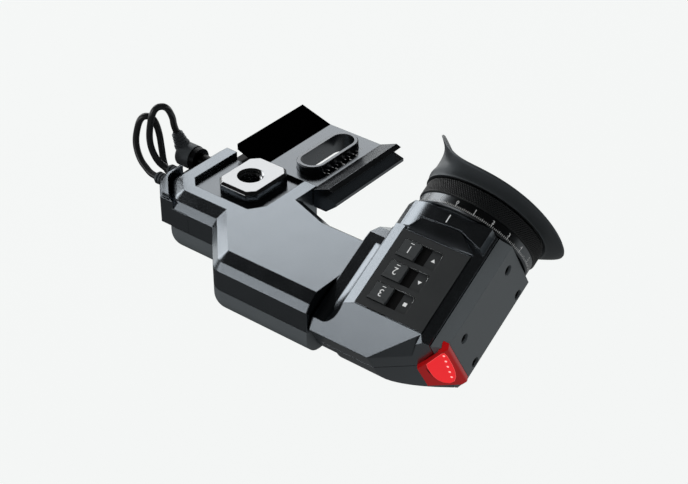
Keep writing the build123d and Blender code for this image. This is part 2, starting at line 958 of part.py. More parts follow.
with BuildPart() as hinge_block:
    with BuildSketch(axial(block_start)):
        RectangleRounded(2 * block_flange_half, 2 * block_half - 0.8, 2.0)
    extrude(amount=3.6)
    with BuildSketch(axial(block_start)):
        RectangleRounded(2 * block_half, 2 * block_half - 0.8, 2.0)
    extrude(amount=block_length)
    with BuildSketch(axial(block_start)):
        Circle(bush_r)
    extrude(amount=block_length, mode=Mode.SUBTRACT)
    with BuildSketch(axial(block_start)):
        with Locations(*block_screw_places()):
            Circle(block_screw_r)
    extrude(amount=3.6, mode=Mode.SUBTRACT)
    with BuildSketch(axial(block_start)):
        with Locations((0, -stop_pin_out)):
            Circle(stop_pin_r)
    extrude(amount=4.0, mode=Mode.SUBTRACT)
write_part(hinge_block, "hinge_block")

with BuildPart() as hinge_block_screws:
    with BuildSketch(axial(plate_start - screw_head_thick)):
        with Locations(*block_screw_places()):
            Circle(screw_head_r)
    extrude(amount=screw_head_thick)
    with BuildSketch(axial(plate_start)):
        with Locations(*block_screw_places()):
            Circle(block_screw_r)
    extrude(amount=hub_plate_thick + 3.0)
    with BuildSketch(axial(plate_start - screw_head_thick)):
        with Locations(*block_screw_places()):
            RegularPolygon(radius=screw_head_r / 2, side_count=6)
    extrude(amount=screw_head_thick / 2, mode=Mode.SUBTRACT)
write_part(hinge_block_screws, "hinge_block_screws")

for bush_name, bush_x in (("bush_inner", block_start), ("bush_outer", block_end - bush_length)):
    with BuildPart() as bush:
        with BuildSketch(axial(bush_x)):
            Circle(bush_r)
            Circle(shaft_r + run_fit, mode=Mode.SUBTRACT)
        extrude(amount=bush_length)
    write_part(bush, bush_name)

shaft_start = 42.0
neck_x = arm_end_x + neck_gap
hub_x = neck_x + wall + slip
spring_thick = 1.3
disc_x = block_start - spring_thick - disc_thick - run_fit
ring_nut_x = disc_x - ring_nut_thick
key_half = 5.4
hub_screw_out = 8.0
hub_screw_r = 0.9


def hub_screw_places():
    """The four screws in the shaft's flange, about the tilt axis."""
    reach = hub_screw_out / 2**0.5
    return [(side * reach, end * reach) for side in (-1, 1) for end in (-1, 1)]


with BuildPart() as tilt_shaft:
    with BuildSketch(axial(shaft_start)):
        Circle(shaft_r)
    extrude(amount=hub_x - shaft_start)
    with BuildSketch(axial(block_end + run_fit)):
        Circle(shaft_collar_r)
    extrude(amount=hub_x - block_end - run_fit)
    with BuildSketch(axial(hub_x)):
        Circle(hub_r)
    extrude(amount=hub_thick)
    # Two flats that key the stop disc
    with BuildSketch(axial(disc_x)):
        Circle(shaft_r)
        Rectangle(2 * key_half, 2 * shaft_r, mode=Mode.SUBTRACT)
    extrude(amount=block_start - disc_x, mode=Mode.SUBTRACT)
    with BuildSketch(axial(shaft_start)):
        Circle(shaft_bore_r)
    extrude(amount=hub_x + hub_thick - shaft_start, mode=Mode.SUBTRACT)
    with BuildSketch(axial(hub_x)):
        with Locations(*hub_screw_places()):
            Circle(hub_screw_r)
    extrude(amount=hub_thick, mode=Mode.SUBTRACT)
write_part(tilt_shaft, "tilt_shaft")

with BuildPart() as ring_nut:
    with BuildSketch(axial(ring_nut_x)):
        RegularPolygon(radius=ring_nut_r, side_count=6)
        Circle(shaft_r, mode=Mode.SUBTRACT)
    extrude(amount=ring_nut_thick)
write_part(ring_nut, "ring_nut")

# The pin stands in an arc slot, which lets the housing tilt by the stop range each way
slot_half_angle = stop_range + degrees((stop_pin_r + 0.15) / stop_pin_out)
slot_half_height = stop_pin_r + 0.2
with BuildPart() as stop_disc:
    with BuildSketch(axial(disc_x)):
        Circle(disc_r)
        with BuildLine():
            CenterArc((0, 0), stop_pin_out + slot_half_height, -90 - slot_half_angle, 2 * slot_half_angle)
            CenterArc((0, 0), stop_pin_out - slot_half_height, -90 - slot_half_angle, 2 * slot_half_angle)
            for end in (-1, 1):
                turn = radians(-90 + end * slot_half_angle)
                near = stop_pin_out - slot_half_height
                far = stop_pin_out + slot_half_height
                Line((near * cos(turn), near * sin(turn)), (far * cos(turn), far * sin(turn)))
        make_face(mode=Mode.SUBTRACT)
    extrude(amount=disc_thick)
    with BuildSketch(axial(disc_x)):
        Circle(shaft_r + run_fit)
        Rectangle(2 * key_half + run_fit, 2 * shaft_r + 1, mode=Mode.INTERSECT)
    extrude(amount=disc_thick, mode=Mode.SUBTRACT)
write_part(stop_disc, "stop_disc")

with BuildPart() as stop_pin:
    with BuildSketch(axial(disc_x + run_fit)):
        with Locations((0, -stop_pin_out)):
            Circle(stop_pin_r)
    extrude(amount=block_start + pin_seat - disc_x - run_fit)
write_part(stop_pin, "stop_pin")

with BuildPart() as spring_washer:
    with BuildSketch(axial(disc_x + disc_thick)):
        Circle(7.6)
        Circle(shaft_r + slip, mode=Mode.SUBTRACT)
    extrude(amount=spring_thick)
write_part(spring_washer, "spring_washer")

harness_end = 80.5
with BuildPart() as harness:
    with BuildSketch(axial(board_end)):
        Circle(harness_r)
    extrude(amount=harness_end - board_end)
write_part(harness, "harness")


# Eyepiece housing: one outer form, and the same form inset for its inside

deep = 90.0  # long enough to run through the whole housing
neck_back = 31.9
front_round = 14.0


def front_view():
    """Outline of the housing seen from the front, in X and height."""
    with BuildSketch() as outline:
        with BuildLine():
            ThreePointArc((75.0, neck_top), (79.4, 18.0), (shoulder_left, panel_top - shoulder_drop))
            Polyline(
                (shoulder_left, panel_top - shoulder_drop),
                (panel_left, panel_top),
                (panel_right, panel_top),
                (bevel_x, bevel_height),
                (body_right, strip_height),
                (body_right, -10.0),
                (119.5, -16.0),
                (119.0, housing_bottom),
                (82.0, housing_bottom),
                (body_left, -16.0),
                (body_left, neck_bottom),
                (neck_x, neck_bottom),
                (neck_x, neck_top),
                (75.0, neck_top),
            )
        make_face()
    return outline.sketch


def body_section():
    """Side outline of the housing's body, in depth and height."""
    with BuildSketch() as outline:
        add(filled([
            (housing_front, slope_foot),
            (slope_head, panel_top),
            (housing_back, panel_top),
            (housing_back, housing_bottom),
            (8.0, housing_bottom),
            (housing_front, -11.4),
        ]))
        fillet(outline.vertices().filter_by(is_front_foot), radius=front_round)
    return outline.sketch


def is_front_foot(corner):
    """True for the corner under the housing's front wall."""
    return corner.Y < slope_foot - 1 and corner.X < housing_front + 1


def neck_section():
    """Side outline of the neck, in depth and height."""
    with BuildSketch() as outline:
        add(filled([
            (housing_front, slope_foot),
            (slope_head - 5.0, panel_top - 5.0 * (panel_top - slope_foot) / (slope_head - housing_front)),
            (16.0, panel_top - 4.4),
            (20.0, neck_top),
            (23.4, 15.1),
            (28.1, 11.0),
            (neck_back, 4.4),
            (neck_back, -8.0),
            (28.0, neck_bottom),
            (housing_front, neck_bottom),
        ]))
        fillet(outline.vertices().filter_by(is_front_foot), radius=front_round)
    return outline.sketch


def side_prism(section, start, end, inset):
    """A side outline, inset, run along X from one place to another."""
    with BuildPart() as prism:
        with BuildSketch(side_on(start + inset)):
            add(section)
            if inset:
                offset(amount=-inset, kind=Kind.INTERSECTION)
        extrude(amount=end - start - 2 * inset)
    return prism.part


def block(plane, points, amount):
    """A straight-sided block on a plane of the tilted frame."""
    with BuildPart() as solid:
        with BuildSketch(plane):
            add(filled(points))
        extrude(amount=amount)
    return solid.part


corner_reach = (body_right - corner_x) * tan(corner_angle)
plan_points = [
    (neck_x - 1, housing_front),
    (corner_x - (corner_y - housing_front) / tan(corner_angle), housing_front),
    (body_right, corner_y + corner_reach),
    (body_right, housing_back),
    (neck_x - 1, housing_back),
]


def deep_prism(plane, outline, inset):
    """An outline, inset, run the whole depth of the working space."""
    with BuildPart() as prism:
        with BuildSketch(plane):
            add(outline)
            if inset:
                offset(amount=-inset, kind=Kind.INTERSECTION)
        extrude(amount=deep)
    return prism.part


def body_form(inset):
    """The whole housing as one solid, smaller by inset on every side."""
    with BuildPart() as form:
        add(side_prism(neck_section(), neck_x, shoulder_left + 2 * inset, inset))
        add(side_prism(body_section(), body_left, body_right, inset))
        add(deep_prism(station(deep / 2), front_view(), inset), mode=Mode.INTERSECT)
        add(deep_prism(level(-deep / 2), filled(plan_points), inset), mode=Mode.INTERSECT)
    return form.part


# The face across the front right corner, drawn in run and height
corner_face = Plane(
    origin=tilt_frame.from_local_coords((corner_x, corner_y, 0)),
    x_dir=tilt_frame.x_dir * cos(corner_angle) + tilt_frame.y_dir * sin(corner_angle),
    z_dir=tilt_frame.x_dir * sin(corner_angle) - tilt_frame.y_dir * cos(corner_angle),
)

# Narrow facet above that face, through three of its corners
facet_corners = [
    tilt_frame.from_local_coords(corner)
    for corner in ((99.1, -18.9, slope_foot), (115.4, -7.8, panel_top - 1.4), (111.4, -12.4, slope_foot - 0.1))
]
facet_plane = Plane(
    origin=facet_corners[0],
    z_dir=(facet_corners[2] - facet_corners[0]).cross(facet_corners[1] - facet_corners[0]),
)


def facet_wedge(inset):
    """What the facet cuts away."""
    with BuildPart() as wedge:
        with BuildSketch(facet_plane.offset(-inset)):
            Rectangle(deep, deep)
        extrude(amount=20.0)
        add(
            block(
                station(deep / 2),
                [(90.0, 5.0), (108.7, 5.0), (111.4, 11.9), (115.4, panel_top - 1.4), (116.2, 25.0), (90.0, 25.0)],
                deep,
            ),
            mode=Mode.INTERSECT,
        )
    return wedge.part


def left_slope(shift_x, shift_z):
    """What the sloping left edge cuts away behind the neck."""
    return block(
        station(deep / 2),
        [
            (body_left + shift_x, 16.0 + shift_z),
            (84.0 + shift_x, panel_top + shift_z),
            (84.0, panel_top + 4.0),
            (body_left - 8.0, panel_top + 4.0),
            (body_left - 8.0, 16.0 + shift_z),
        ],
        deep / 2 - slope_start + shift_x,
    )


def hump():
    """Low swelling between the button panel and the collar."""
    with BuildPart() as swelling:
        with BuildSketch(side_on(86.0)):
            with BuildLine():
                ThreePointArc((hump_near, panel_top), (30.0, 24.5), (hump_far, collar_top))
                Polyline(
                    (hump_far, collar_top), (hump_far, panel_top - 1.0),
                    (hump_near, panel_top - 1.0), (hump_near, panel_top),
                )
            make_face()
        extrude(amount=31.0)
        add(
            block(
                level(panel_top - 2.0),
                [(86.6, 26.0), (91.4, 32.8), (107.8, 33.5), (116.3, 27.5)],
                6.0,
            ),
            mode=Mode.INTERSECT,
        )
    return swelling.part


def collar():
    """Raised band at the eye end, rounded down on the left to meet the sloping edge."""
    with BuildPart() as band:
        with BuildSketch(station(housing_back)):
            with BuildLine():
                ThreePointArc((81.07, 19.85), (85.96, 23.65), (92.0, collar_top))
                Polyline((92.0, collar_top), (118.0, collar_top), (118.0, 19.0), (84.0, 19.0), (81.07, 19.85))
            make_face()
        extrude(amount=housing_back - slope_start)
        add(
            block(
                level(18.0),
                [
                    (79.0, housing_back), (79.0, slope_start), (88.0, slope_start), (91.4, 32.8),
                    (107.8, 33.5), (118.0, 30.0), (118.0, housing_back),
                ],
                10.0,
            ),
            mode=Mode.INTERSECT,
        )
        # Narrow groove between the hump and the band
        add(
            block(level(collar_top - 0.5), [(90.9, 32.6), (107.9, 33.3), (107.9, 33.8), (90.9, 33.1)], 1.0),
            mode=Mode.SUBTRACT,
        )
    return band.part


with BuildPart() as housing:
    add(body_form(0))
    add(facet_wedge(0), mode=Mode.SUBTRACT)
    add(left_slope(0, 0), mode=Mode.SUBTRACT)
    add(hump())
    add(collar())

with BuildPart() as housing_space:
    add(body_form(wall))
    add(facet_wedge(1.6), mode=Mode.SUBTRACT)
    add(left_slope(1.7, -1.4), mode=Mode.SUBTRACT)


# Tally lamp lens, a bar set into the corner face

lens_plan = [
    (111.4, -12.4), (112.5, -13.9), (123.9, -7.9), (124.9, -6.2),
    (124.6, -4.0), (121.0, -4.0), (121.0, -8.0), (112.0, -12.0),
]
lens_view = [(13.8, -9.0), (13.8, 4.9), (17.9, 8.7), (26.5, 17.5), (28.9, 17.5), (28.9, -9.0)]
with BuildPart() as tally_lens:
    add(block(level(-10.0), lens_plan, 30.0))
    add(block(corner_face.offset(10.0), lens_view, -20.0), mode=Mode.INTERSECT)
write_part(tally_lens, "tally_lens")

tally_window = [(16.0, -6.0), (21.5, -6.0), (21.5, 6.0), (18.6, 6.0), (16.0, 3.8)]
with BuildPart() as tally_board:
    add(block(
        corner_face.offset(-wall - 0.2), [(15.0, -7.0), (22.3, -7.0), (22.3, 7.0), (15.0, 7.0)], -1.2
    ))
    with BuildSketch(corner_face.offset(-wall - 0.2)):
        with Locations(*((18.8, height) for height in (-4.4, -2.2, 0.0, 2.2, 4.4))):
            Rectangle(1.6, 1.2)
    extrude(amount=0.8)
write_part(tally_board, "tally_board")


# Housing covers

split_x = 118.9
split_half = 0.15
post_r_small = 2.3
shell_screw_r = 1.0
bulkhead_start = 115.6
bulkhead_thick = 1.8
bulkhead_front = -3.0
bulkhead_back = 34.4


def shell_post_places():
    """Posts that join the two shells."""
    return [(83.2, 2.0), (83.2, 24.0), (116.4, 11.0), (116.4, 24.0)]


def side_screw_places():
    """Screws in the side cover, in depth and height."""
    return [(32.8, 9.4), (2.5, 9.4), (32.0, -8.0), (1.5, -8.0)]


def rods(plane, places, radius, amount):
    """Round rods standing on a plane."""
    with BuildPart() as set_of_rods:
        with BuildSketch(plane):
            with Locations(*places):
                Circle(radius)
        extrude(amount=amount)
    return set_of_rods.part


def within(solid, space):
    """The part of a solid that lies in a space."""
    with BuildPart() as kept:
        add(solid)
        add(space, mode=Mode.INTERSECT)
    return kept.part


def slab(start_x, end_x, low, high):
    """Upright block of space between two places along X and two heights."""
    return block(
        level(low), [(start_x, -deep), (end_x, -deep), (end_x, deep), (start_x, deep)], high - low
    )


def bulkhead(low, high):
    """Cross wall near the right end, which takes the side cover's screws."""
    with BuildPart() as cross_wall:
        add(housing_space.part)
        add(slab(bulkhead_start, bulkhead_start + bulkhead_thick, low, high), mode=Mode.INTERSECT)
        add(
            block(
                level(low - 1),
                [
                    (bulkhead_start - 1, bulkhead_front),
                    (split_x, bulkhead_front),
                    (split_x, bulkhead_back),
                    (bulkhead_start - 1, bulkhead_back),
                ],
                high - low + 2,
            ),
            mode=Mode.INTERSECT,
        )
    return cross_wall.part


def cover(start_x, end_x, low, high):
    """One cover: a part of the housing's wall, less its common openings."""
    with BuildPart() as piece:
        add(housing.part)
        add(housing_space.part, mode=Mode.SUBTRACT)
        add(slab(start_x, end_x, low, high), mode=Mode.INTERSECT)
        if low != high and end_x < body_right:
            add(bulkhead(low, high))
            add(
                rods(side_on(bulkhead_start), side_screw_places(), shell_screw_r, bulkhead_thick),
                mode=Mode.SUBTRACT,
            )
        with BuildSketch(eye_circle(tube_start - 1.8)):
            Circle(tube_r + slip)
        extrude(amount=10.0, mode=Mode.SUBTRACT)
        with BuildSketch(side_on(neck_x - 1)):
            Circle(shaft_collar_r + part_gap)
        extrude(amount=wall + 1.5, mode=Mode.SUBTRACT)
        add(tally_lens.part, mode=Mode.SUBTRACT)
        add(block(corner_face.offset(1.0), tally_window, -wall - 1.4), mode=Mode.SUBTRACT)
    return piece.part


lower_top = housing_seam - seam_gap
post_head = 0.5
with BuildPart() as main_shell:
    add(cover(neck_x - 1, split_x - split_half, housing_seam, collar_top + 1))
    add(within(rods(level(housing_seam), shell_post_places(), post_r_small, 14.0), housing_space.part))
    add(rods(level(housing_seam), shell_post_places(), shell_screw_r, 6.0), mode=Mode.SUBTRACT)
    # Opening for the button panel
    add(
        block(
            level(19.0),
            [
                (panel_left, panel_front), (panel_right, panel_front),
                (panel_right, panel_back), (panel_left, panel_back),
            ],
            8.0,
        ),
        mode=Mode.SUBTRACT,
    )
write_part(main_shell, "main_shell")

with BuildPart() as lower_shell:
    add(cover(neck_x - 1, split_x - split_half, housing_bottom - 1, lower_top))
    add(within(
        rods(level(housing_bottom + 1), shell_post_places(), post_r_small, lower_top - housing_bottom - 1),
        body_form(wall / 2),
    ))
    add(rods(level(housing_bottom + 1), [(90.0, 4.0), (110.0, 4.0), (90.0, 22.0), (110.0, 22.0)], 1.8, 9.7))
    add(
        rods(level(housing_bottom - 1), shell_post_places(), post_r_small - 0.5, post_head - housing_bottom + 1),
        mode=Mode.SUBTRACT,
    )
    add(
        rods(level(housing_bottom - 1), shell_post_places(), shell_screw_r + slip, 30.0),
        mode=Mode.SUBTRACT,
    )
write_part(lower_shell, "lower_shell")

with BuildPart() as side_cover:
    add(cover(split_x + split_half, body_right + 1, housing_bottom - 1, collar_top + 1))
    add(within(
        rods(side_on(bulkhead_start + bulkhead_thick), side_screw_places(), 2.6, 6.0),
        slab(bulkhead_start + bulkhead_thick, body_right - 0.5, -20.0, 20.0),
    ))
    add(rods(side_on(bulkhead_start), side_screw_places(), shell_screw_r + slip, 12.0), mode=Mode.SUBTRACT)
    add(rods(side_on(body_right - 2.4), side_screw_places(), 2.0, 5.0), mode=Mode.SUBTRACT)
write_part(side_cover, "side_cover")

with BuildPart() as side_cover_screws:
    add(rods(side_on(body_right - 2.4), side_screw_places(), 1.9, 1.4))
    add(rods(side_on(bulkhead_start + 0.2), side_screw_places(), shell_screw_r, body_right - bulkhead_start - 2.6))
    with BuildSketch(side_on(body_right - 1.0)):
        with Locations(*side_screw_places()):
            RegularPolygon(radius=1.0, side_count=6)
    extrude(amount=-0.8, mode=Mode.SUBTRACT)
write_part(side_cover_screws, "side_cover_screws")

with BuildPart() as lower_shell_screws:
    add(rods(level(post_head - 1.4), shell_post_places(), post_r_small - 0.6, 1.4))
    add(rods(level(post_head), shell_post_places(), shell_screw_r, 9.0))
    with BuildSketch(level(post_head - 1.4)):
        with Locations(*shell_post_places()):
            RegularPolygon(radius=1.0, side_count=6)
    extrude(amount=0.8, mode=Mode.SUBTRACT)
write_part(lower_shell_screws, "lower_shell_screws")


# Frame in the housing, screwed to the shaft's flange

bracket_x = hub_x + hub_thick
bracket_thick = 2.5
tray_low = -9.8
tray_thick = 2.0
tray_right = 113.5
with BuildPart() as housing_frame:
    add(block(side_on(bracket_x), [(-8.0, tray_low), (15.0, tray_low), (15.0, 12.5), (-8.0, 12.5)], bracket_thick))
    add(block(
        level(tray_low), [(bracket_x, -2.0), (tray_right, -2.0), (tray_right, 28.0), (bracket_x + 6, 28.0),
        (bracket_x + 6, 15.0), (bracket_x, 15.0)], tray_thick,
    ))
    add(rods(level(tray_low - 2.4), [(94.0, 8.0), (106.0, 8.0), (100.0, 24.0)], 1.5, 2.4))
    add(rods(side_on(bracket_x), [(0.0, 0.0)], shaft_bore_r, bracket_thick), mode=Mode.SUBTRACT)
    add(rods(side_on(bracket_x), hub_screw_places(), hub_screw_r + slip, bracket_thick), mode=Mode.SUBTRACT)
    add(
        rods(level(tray_low), shell_post_places()[:2], post_r_small + part_gap, tray_thick),
        mode=Mode.SUBTRACT,
    )
write_part(housing_frame, "housing_frame")

with BuildPart() as hub_screws:
    add(rods(side_on(bracket_x + bracket_thick), hub_screw_places(), 1.6, 1.0))
    add(rods(side_on(bracket_x - 2.0), hub_screw_places(), hub_screw_r, bracket_thick + 2.0))
write_part(hub_screws, "hub_screws")

with BuildPart() as main_board:
    add(block(level(tray_low - 3.8), [(92.2, 6.5), (107.8, 6.5), (107.8, 26.0), (92.2, 26.0)], 1.4))
    add(block(level(tray_low - 2.4), [(96.0, 11.0), (103.0, 11.0), (103.0, 18.0), (96.0, 18.0)], 1.2))
write_part(main_board, "main_board")


# Display and the box that carries it in front of the lens tube

holder_wall = 1.5
holder_front = -6.0
display_thick = 2.5


def eye_box(half_x, low, high, start, end):
    """Box about the eye axis, from one depth to another."""
    return block(
        level(low),
        [
            (eye_x - half_x, start), (eye_x + half_x, start),
            (eye_x + half_x, end), (eye_x - half_x, end),
        ],
        high - low,
    )


with BuildPart() as display_holder:
    add(eye_box(optics_half, optics_low, optics_top, holder_front, tube_start - 0.5))
    with BuildSketch(eye_circle(tube_start - 1.0)):
        Circle(tube_r - 0.5)
    extrude(amount=1.0)
    add(
        eye_box(
            optics_half - holder_wall - 1.0, optics_low + holder_wall + 1.0,
            optics_top - holder_wall - 1.0, holder_front - 1, tube_start + 1,
        ),
        mode=Mode.SUBTRACT,
    )
    add(
        eye_box(
            optics_half - holder_wall, optics_low + holder_wall, optics_top - holder_wall,
            holder_front - 1, holder_front + display_thick + 0.1,
        ),
        mode=Mode.SUBTRACT,
    )
    for foot_y in (4.0, 24.0):
        add(block(
            level(tray_low + tray_thick),
            [(93.0, foot_y - 2), (109.6, foot_y - 2), (109.6, foot_y + 2), (93.0, foot_y + 2)],
            optics_low - tray_low - tray_thick,
        ))
    for pad_x in (92.0, 105.0):
        for pad_y in (-2.0, 22.0):
            add(block(
                level(optics_top),
                [(pad_x - 1.5, pad_y - 1.5), (pad_x + 1.5, pad_y - 1.5), (pad_x + 1.5, pad_y + 1.5),
                (pad_x - 1.5, pad_y + 1.5)],
                1.0,
            ))
write_part(display_holder, "display_holder")

with BuildPart() as display_panel:
    add(eye_box(
        optics_half - holder_wall - slip, optics_low + holder_wall + slip, optics_top - holder_wall - slip,
        holder_front + 0.1, holder_front + display_thick + 0.1,
    ))
write_part(display_panel, "display_panel")


# Button board, domes, button panel and buttons

board_low = optics_top + 1.0
board_high = board_low + 1.6
dome_x = button_left + button_cap / 2
button_rows = [button_first + row * button_pitch for row in range(3)]

with BuildPart() as button_board:
    add(block(level(board_low), [(89.0, -5.0), (108.0, -5.0), (108.0, 25.0), (89.0, 25.0)], board_high - board_low))
write_part(button_board, "button_board")

with BuildPart() as button_domes:
    add(rods(level(board_high), [(dome_x, row) for row in button_rows], 2.6, 0.3))
    add(rods(level(board_high + 0.3), [(dome_x, row) for row in button_rows], 1.6, 0.2))
write_part(button_domes, "button_domes")

flange_top = panel_top - panel_thick - panel_flange
with BuildPart() as button_panel:
    add(block(
        level(flange_top),
        [
            (panel_left + 0.15, panel_front + 0.15), (panel_right - 0.15, panel_front + 0.15),
            (panel_right - 0.15, panel_back - 0.15), (panel_left + 0.15, panel_back - 0.15),
        ],
        panel_thick + panel_flange,
    ))
    add(block(
        level(flange_top),
        [
            (panel_left + 2.0, panel_back - 1.0), (panel_right - 3.0, panel_back - 1.0),
            (panel_right - 3.0, panel_back + 1.3), (panel_left + 2.0, panel_back + 1.3),
        ],
        panel_flange,
    ))
    for row in button_rows:
        half = button_width / 2
        # Shallow slot, and the opening for the button at its left end
        add(
            block(
                level(panel_top - 0.7),
                [
                    (button_left, row - half), (button_left + button_slot, row - half),
                    (button_left + button_slot, row + half), (button_left, row + half),
                ],
                2.0,
            ),
            mode=Mode.SUBTRACT,
        )
        add(
            block(
                level(flange_top - 1),
                [
                    (button_left, row - half), (button_left + button_cap, row - half),
                    (button_left + button_cap, row + half), (button_left, row + half),
                ],
                6.0,
            ),
            mode=Mode.SUBTRACT,
        )
write_part(button_panel, "button_panel")

for number, row in enumerate(button_rows, start=1):
    left = button_left + button_gap
    right = button_left + button_cap - button_gap
    half = button_width / 2 - button_gap
    with BuildPart() as button:
        add(block(
            level(flange_top - 0.05),
            [(left, row - half), (right, row - half), (right, row + half), (left, row + half)],
            panel_top + button_proud - flange_top + 0.05,
        ))
        add(block(
            level(panel_top),
            [(left, row - half), (right, row - half), (right, row - half + 1.0), (left, row - half + 1.0)],
            button_proud + 0.4,
        ))
        add(block(
            level(flange_top - 1.25),
            [
                (left - 0.9, row - half - 0.8), (right + 0.9, row - half - 0.8),
                (right + 0.9, row + half + 0.8), (left - 0.9, row + half + 0.8),
            ],
            1.2,
        ))
        add(rods(level(board_high + 0.5 + 0.9), [(dome_x, row)], 1.5, flange_top - 1.25 - board_high - 1.4))
    write_part(button, "button_" + str(number))


# Lens tube, focusing lens, rings and eyecup

def turned(points):
    """Ring turned about the eye axis from a profile in depth and radius."""
    with BuildPart() as ring:
        with BuildSketch(eye_section):
            add(filled(points))
        revolve(axis=eye_axis)
    return ring.part


pin_depth = 46.0
pin_r = 1.0
relief_start = pin_depth - focus_travel - pin_r - 0.15
relief_end = pin_depth + focus_travel + pin_r + 0.15
relief_r = tube_r + 1.5
ring_bore = tube_r + run_fit
clip_start = 54.1
clip_thick = 0.5
clip_groove_r = tube_r - 0.8
clip_out_r = tube_r + 2.4


def radial_pin(radius, near, far, half_length):
    """Pin hanging down from the eye axis, or the slot it slides in."""
    with BuildPart() as rod:
        with BuildSketch(level(eye_height - far)):
            with Locations((eye_x, pin_depth)):
                if half_length:
                    Rectangle(2 * radius, 2 * half_length)
                else:
                    Circle(radius)
        extrude(amount=far - near)
    return rod.part


with BuildPart() as lens_tube:
    add(turned([
        (tube_start, tube_bore_r), (tube_end, tube_bore_r), (tube_end, tube_r),
        (clip_start + clip_thick + 0.05, tube_r), (clip_start + clip_thick + 0.05, clip_groove_r),
        (clip_start - 0.05, clip_groove_r), (clip_start - 0.05, tube_r), (tube_start, tube_r),
    ]))
    add(
        radial_pin(pin_r + 0.15, tube_bore_r - 1, tube_r + 1, focus_travel + pin_r + 0.15),
        mode=Mode.SUBTRACT,
    )
write_part(lens_tube, "lens_tube")

carrier_end = carrier_start + carrier_length
ridge_start = carrier_start + 4.2
ridge_end = carrier_start + 7.8
ring_thick = 1.2
clear_r = lens_r - 1.5
with BuildPart() as lens_carrier:
    add(turned([
        (carrier_start, lens_r), (ridge_start, lens_r), (ridge_start, clear_r), (ridge_end, clear_r),
        (ridge_end, lens_r), (carrier_end, lens_r), (carrier_end, tube_bore_r - run_fit),
        (carrier_start, tube_bore_r - run_fit),
    ]))
    add(radial_pin(pin_r, lens_r + 1.5, tube_bore_r + 1, 0), mode=Mode.SUBTRACT)
write_part(lens_carrier, "lens_carrier")

with BuildPart() as drive_pin:
    add(radial_pin(pin_r, lens_r + 1.5, relief_r - 0.3, 0))
write_part(drive_pin, "drive_pin")

with BuildPart() as lens_rings:
    for ring_depth in (carrier_start, carrier_end - ring_thick):
        add(turned([
            (ring_depth, clear_r), (ring_depth + ring_thick, clear_r),
            (ring_depth + ring_thick, lens_r), (ring_depth, lens_r),
        ]))
write_part(lens_rings, "lens_rings")


def half_way(bulge):
    """Height of a domed face at half its radius, for a sphere centred on the axis."""
    sphere_r = (clear_r**2 + bulge**2) / (2 * bulge)
    return (sphere_r**2 - clear_r**2 / 4) ** 0.5 - sphere_r + bulge


def turned_lens(front, back, front_bulge, back_bulge):
    """Lens with a flat rim and two domed faces."""
    with BuildPart() as lens:
        with BuildSketch(eye_section):
            with BuildLine():
                Polyline((back, clear_r), (back, lens_r), (front, lens_r), (front, clear_r))
                ThreePointArc(
                    (front, clear_r), (front - half_way(front_bulge), clear_r / 2), (front - front_bulge, 0)
                )
                Line((front - front_bulge, 0), (back + back_bulge, 0))
                ThreePointArc(
                    (back + back_bulge, 0), (back + half_way(back_bulge), clear_r / 2), (back, clear_r)
                )
            make_face()
        revolve(axis=eye_axis)
    return lens.part


with BuildPart() as field_lens:
    add(turned_lens(carrier_start + ring_thick, ridge_start, 0.9, 1.0))
write_part(field_lens, "field_lens")

with BuildPart() as eye_lens:
    add(turned_lens(ridge_end, carrier_end - ring_thick, 1.0, 1.8))
write_part(eye_lens, "eye_lens")

with BuildPart() as seal_ring:
    add(turned([
        (housing_back + 0.02, ring_bore), (ring_start - 0.05, ring_bore),
        (ring_start - 0.05, tube_r + 2.0), (housing_back + 0.02, tube_r + 2.0),
    ]))
write_part(seal_ring, "seal_ring")

ring_bevel = 0.5
with BuildPart() as diopter_ring:
    add(turned([
        (ring_start, ring_bore), (relief_start, ring_bore), (relief_start, relief_r),
        (ring_joint, relief_r), (ring_joint, scale_r), (ring_start + ring_bevel, scale_r),
        (ring_start, scale_r - ring_bevel),
    ]))
write_part(diopter_ring, "diopter_ring")

ring_screw_out = tube_r + 2.9
ring_screw_r = 0.6
ring_screw_places = [
    (ring_screw_out * side / 2**0.5, ring_screw_out * end / 2**0.5) for side in (-1, 1) for end in (-1, 1)
]
with BuildPart() as knurled_ring:
    add(turned([
        (ring_joint, relief_r), (relief_end, relief_r), (relief_end, ring_bore), (ring_end, ring_bore),
        (ring_end, grip_r - ring_bevel), (ring_end - ring_bevel, grip_r),
        (ring_joint + ring_bevel, grip_r), (ring_joint, grip_r - ring_bevel),
    ]))
    add(rods(eye_circle(ring_joint), ring_screw_places, ring_screw_r, ring_end - ring_joint + 1), mode=Mode.SUBTRACT)
write_part(knurled_ring, "knurled_ring")

with BuildPart() as ring_screws:
    add(rods(eye_circle(ring_joint), ring_screw_places, ring_screw_r, ring_end - ring_joint - 0.3))
write_part(ring_screws, "ring_screws")

with BuildPart() as eyecup_ring:
    add(turned([
        (cup_start + 0.2, ring_bore), (clip_start - 0.1, ring_bore), (clip_start - 0.1, cup_bore_r),
        (cup_start + 0.2, cup_bore_r),
    ]))
write_part(eyecup_ring, "eyecup_ring")

with BuildPart() as eyecup_clip:
    add(turned([
        (clip_start, clip_groove_r + run_fit), (clip_start + clip_thick, clip_groove_r + run_fit),
        (clip_start + clip_thick, clip_out_r), (clip_start, clip_out_r),
    ]))
write_part(eyecup_clip, "eyecup_clip")

# The rim as seen from above, across the eye axis and past the eyecup's start, in lip radii.
# It is long on the left, to shade the eye, and short on the right.
rim_line = [
    (1.4, 0.05), (1.0, 0.068), (0.78, 0.104), (0.42, 0.113), (-0.04, 0.142), (-0.21, 0.2),
    (-0.5, 0.37), (-0.8, 0.59), (-1.0, 0.745), (-1.4, 1.04),
]


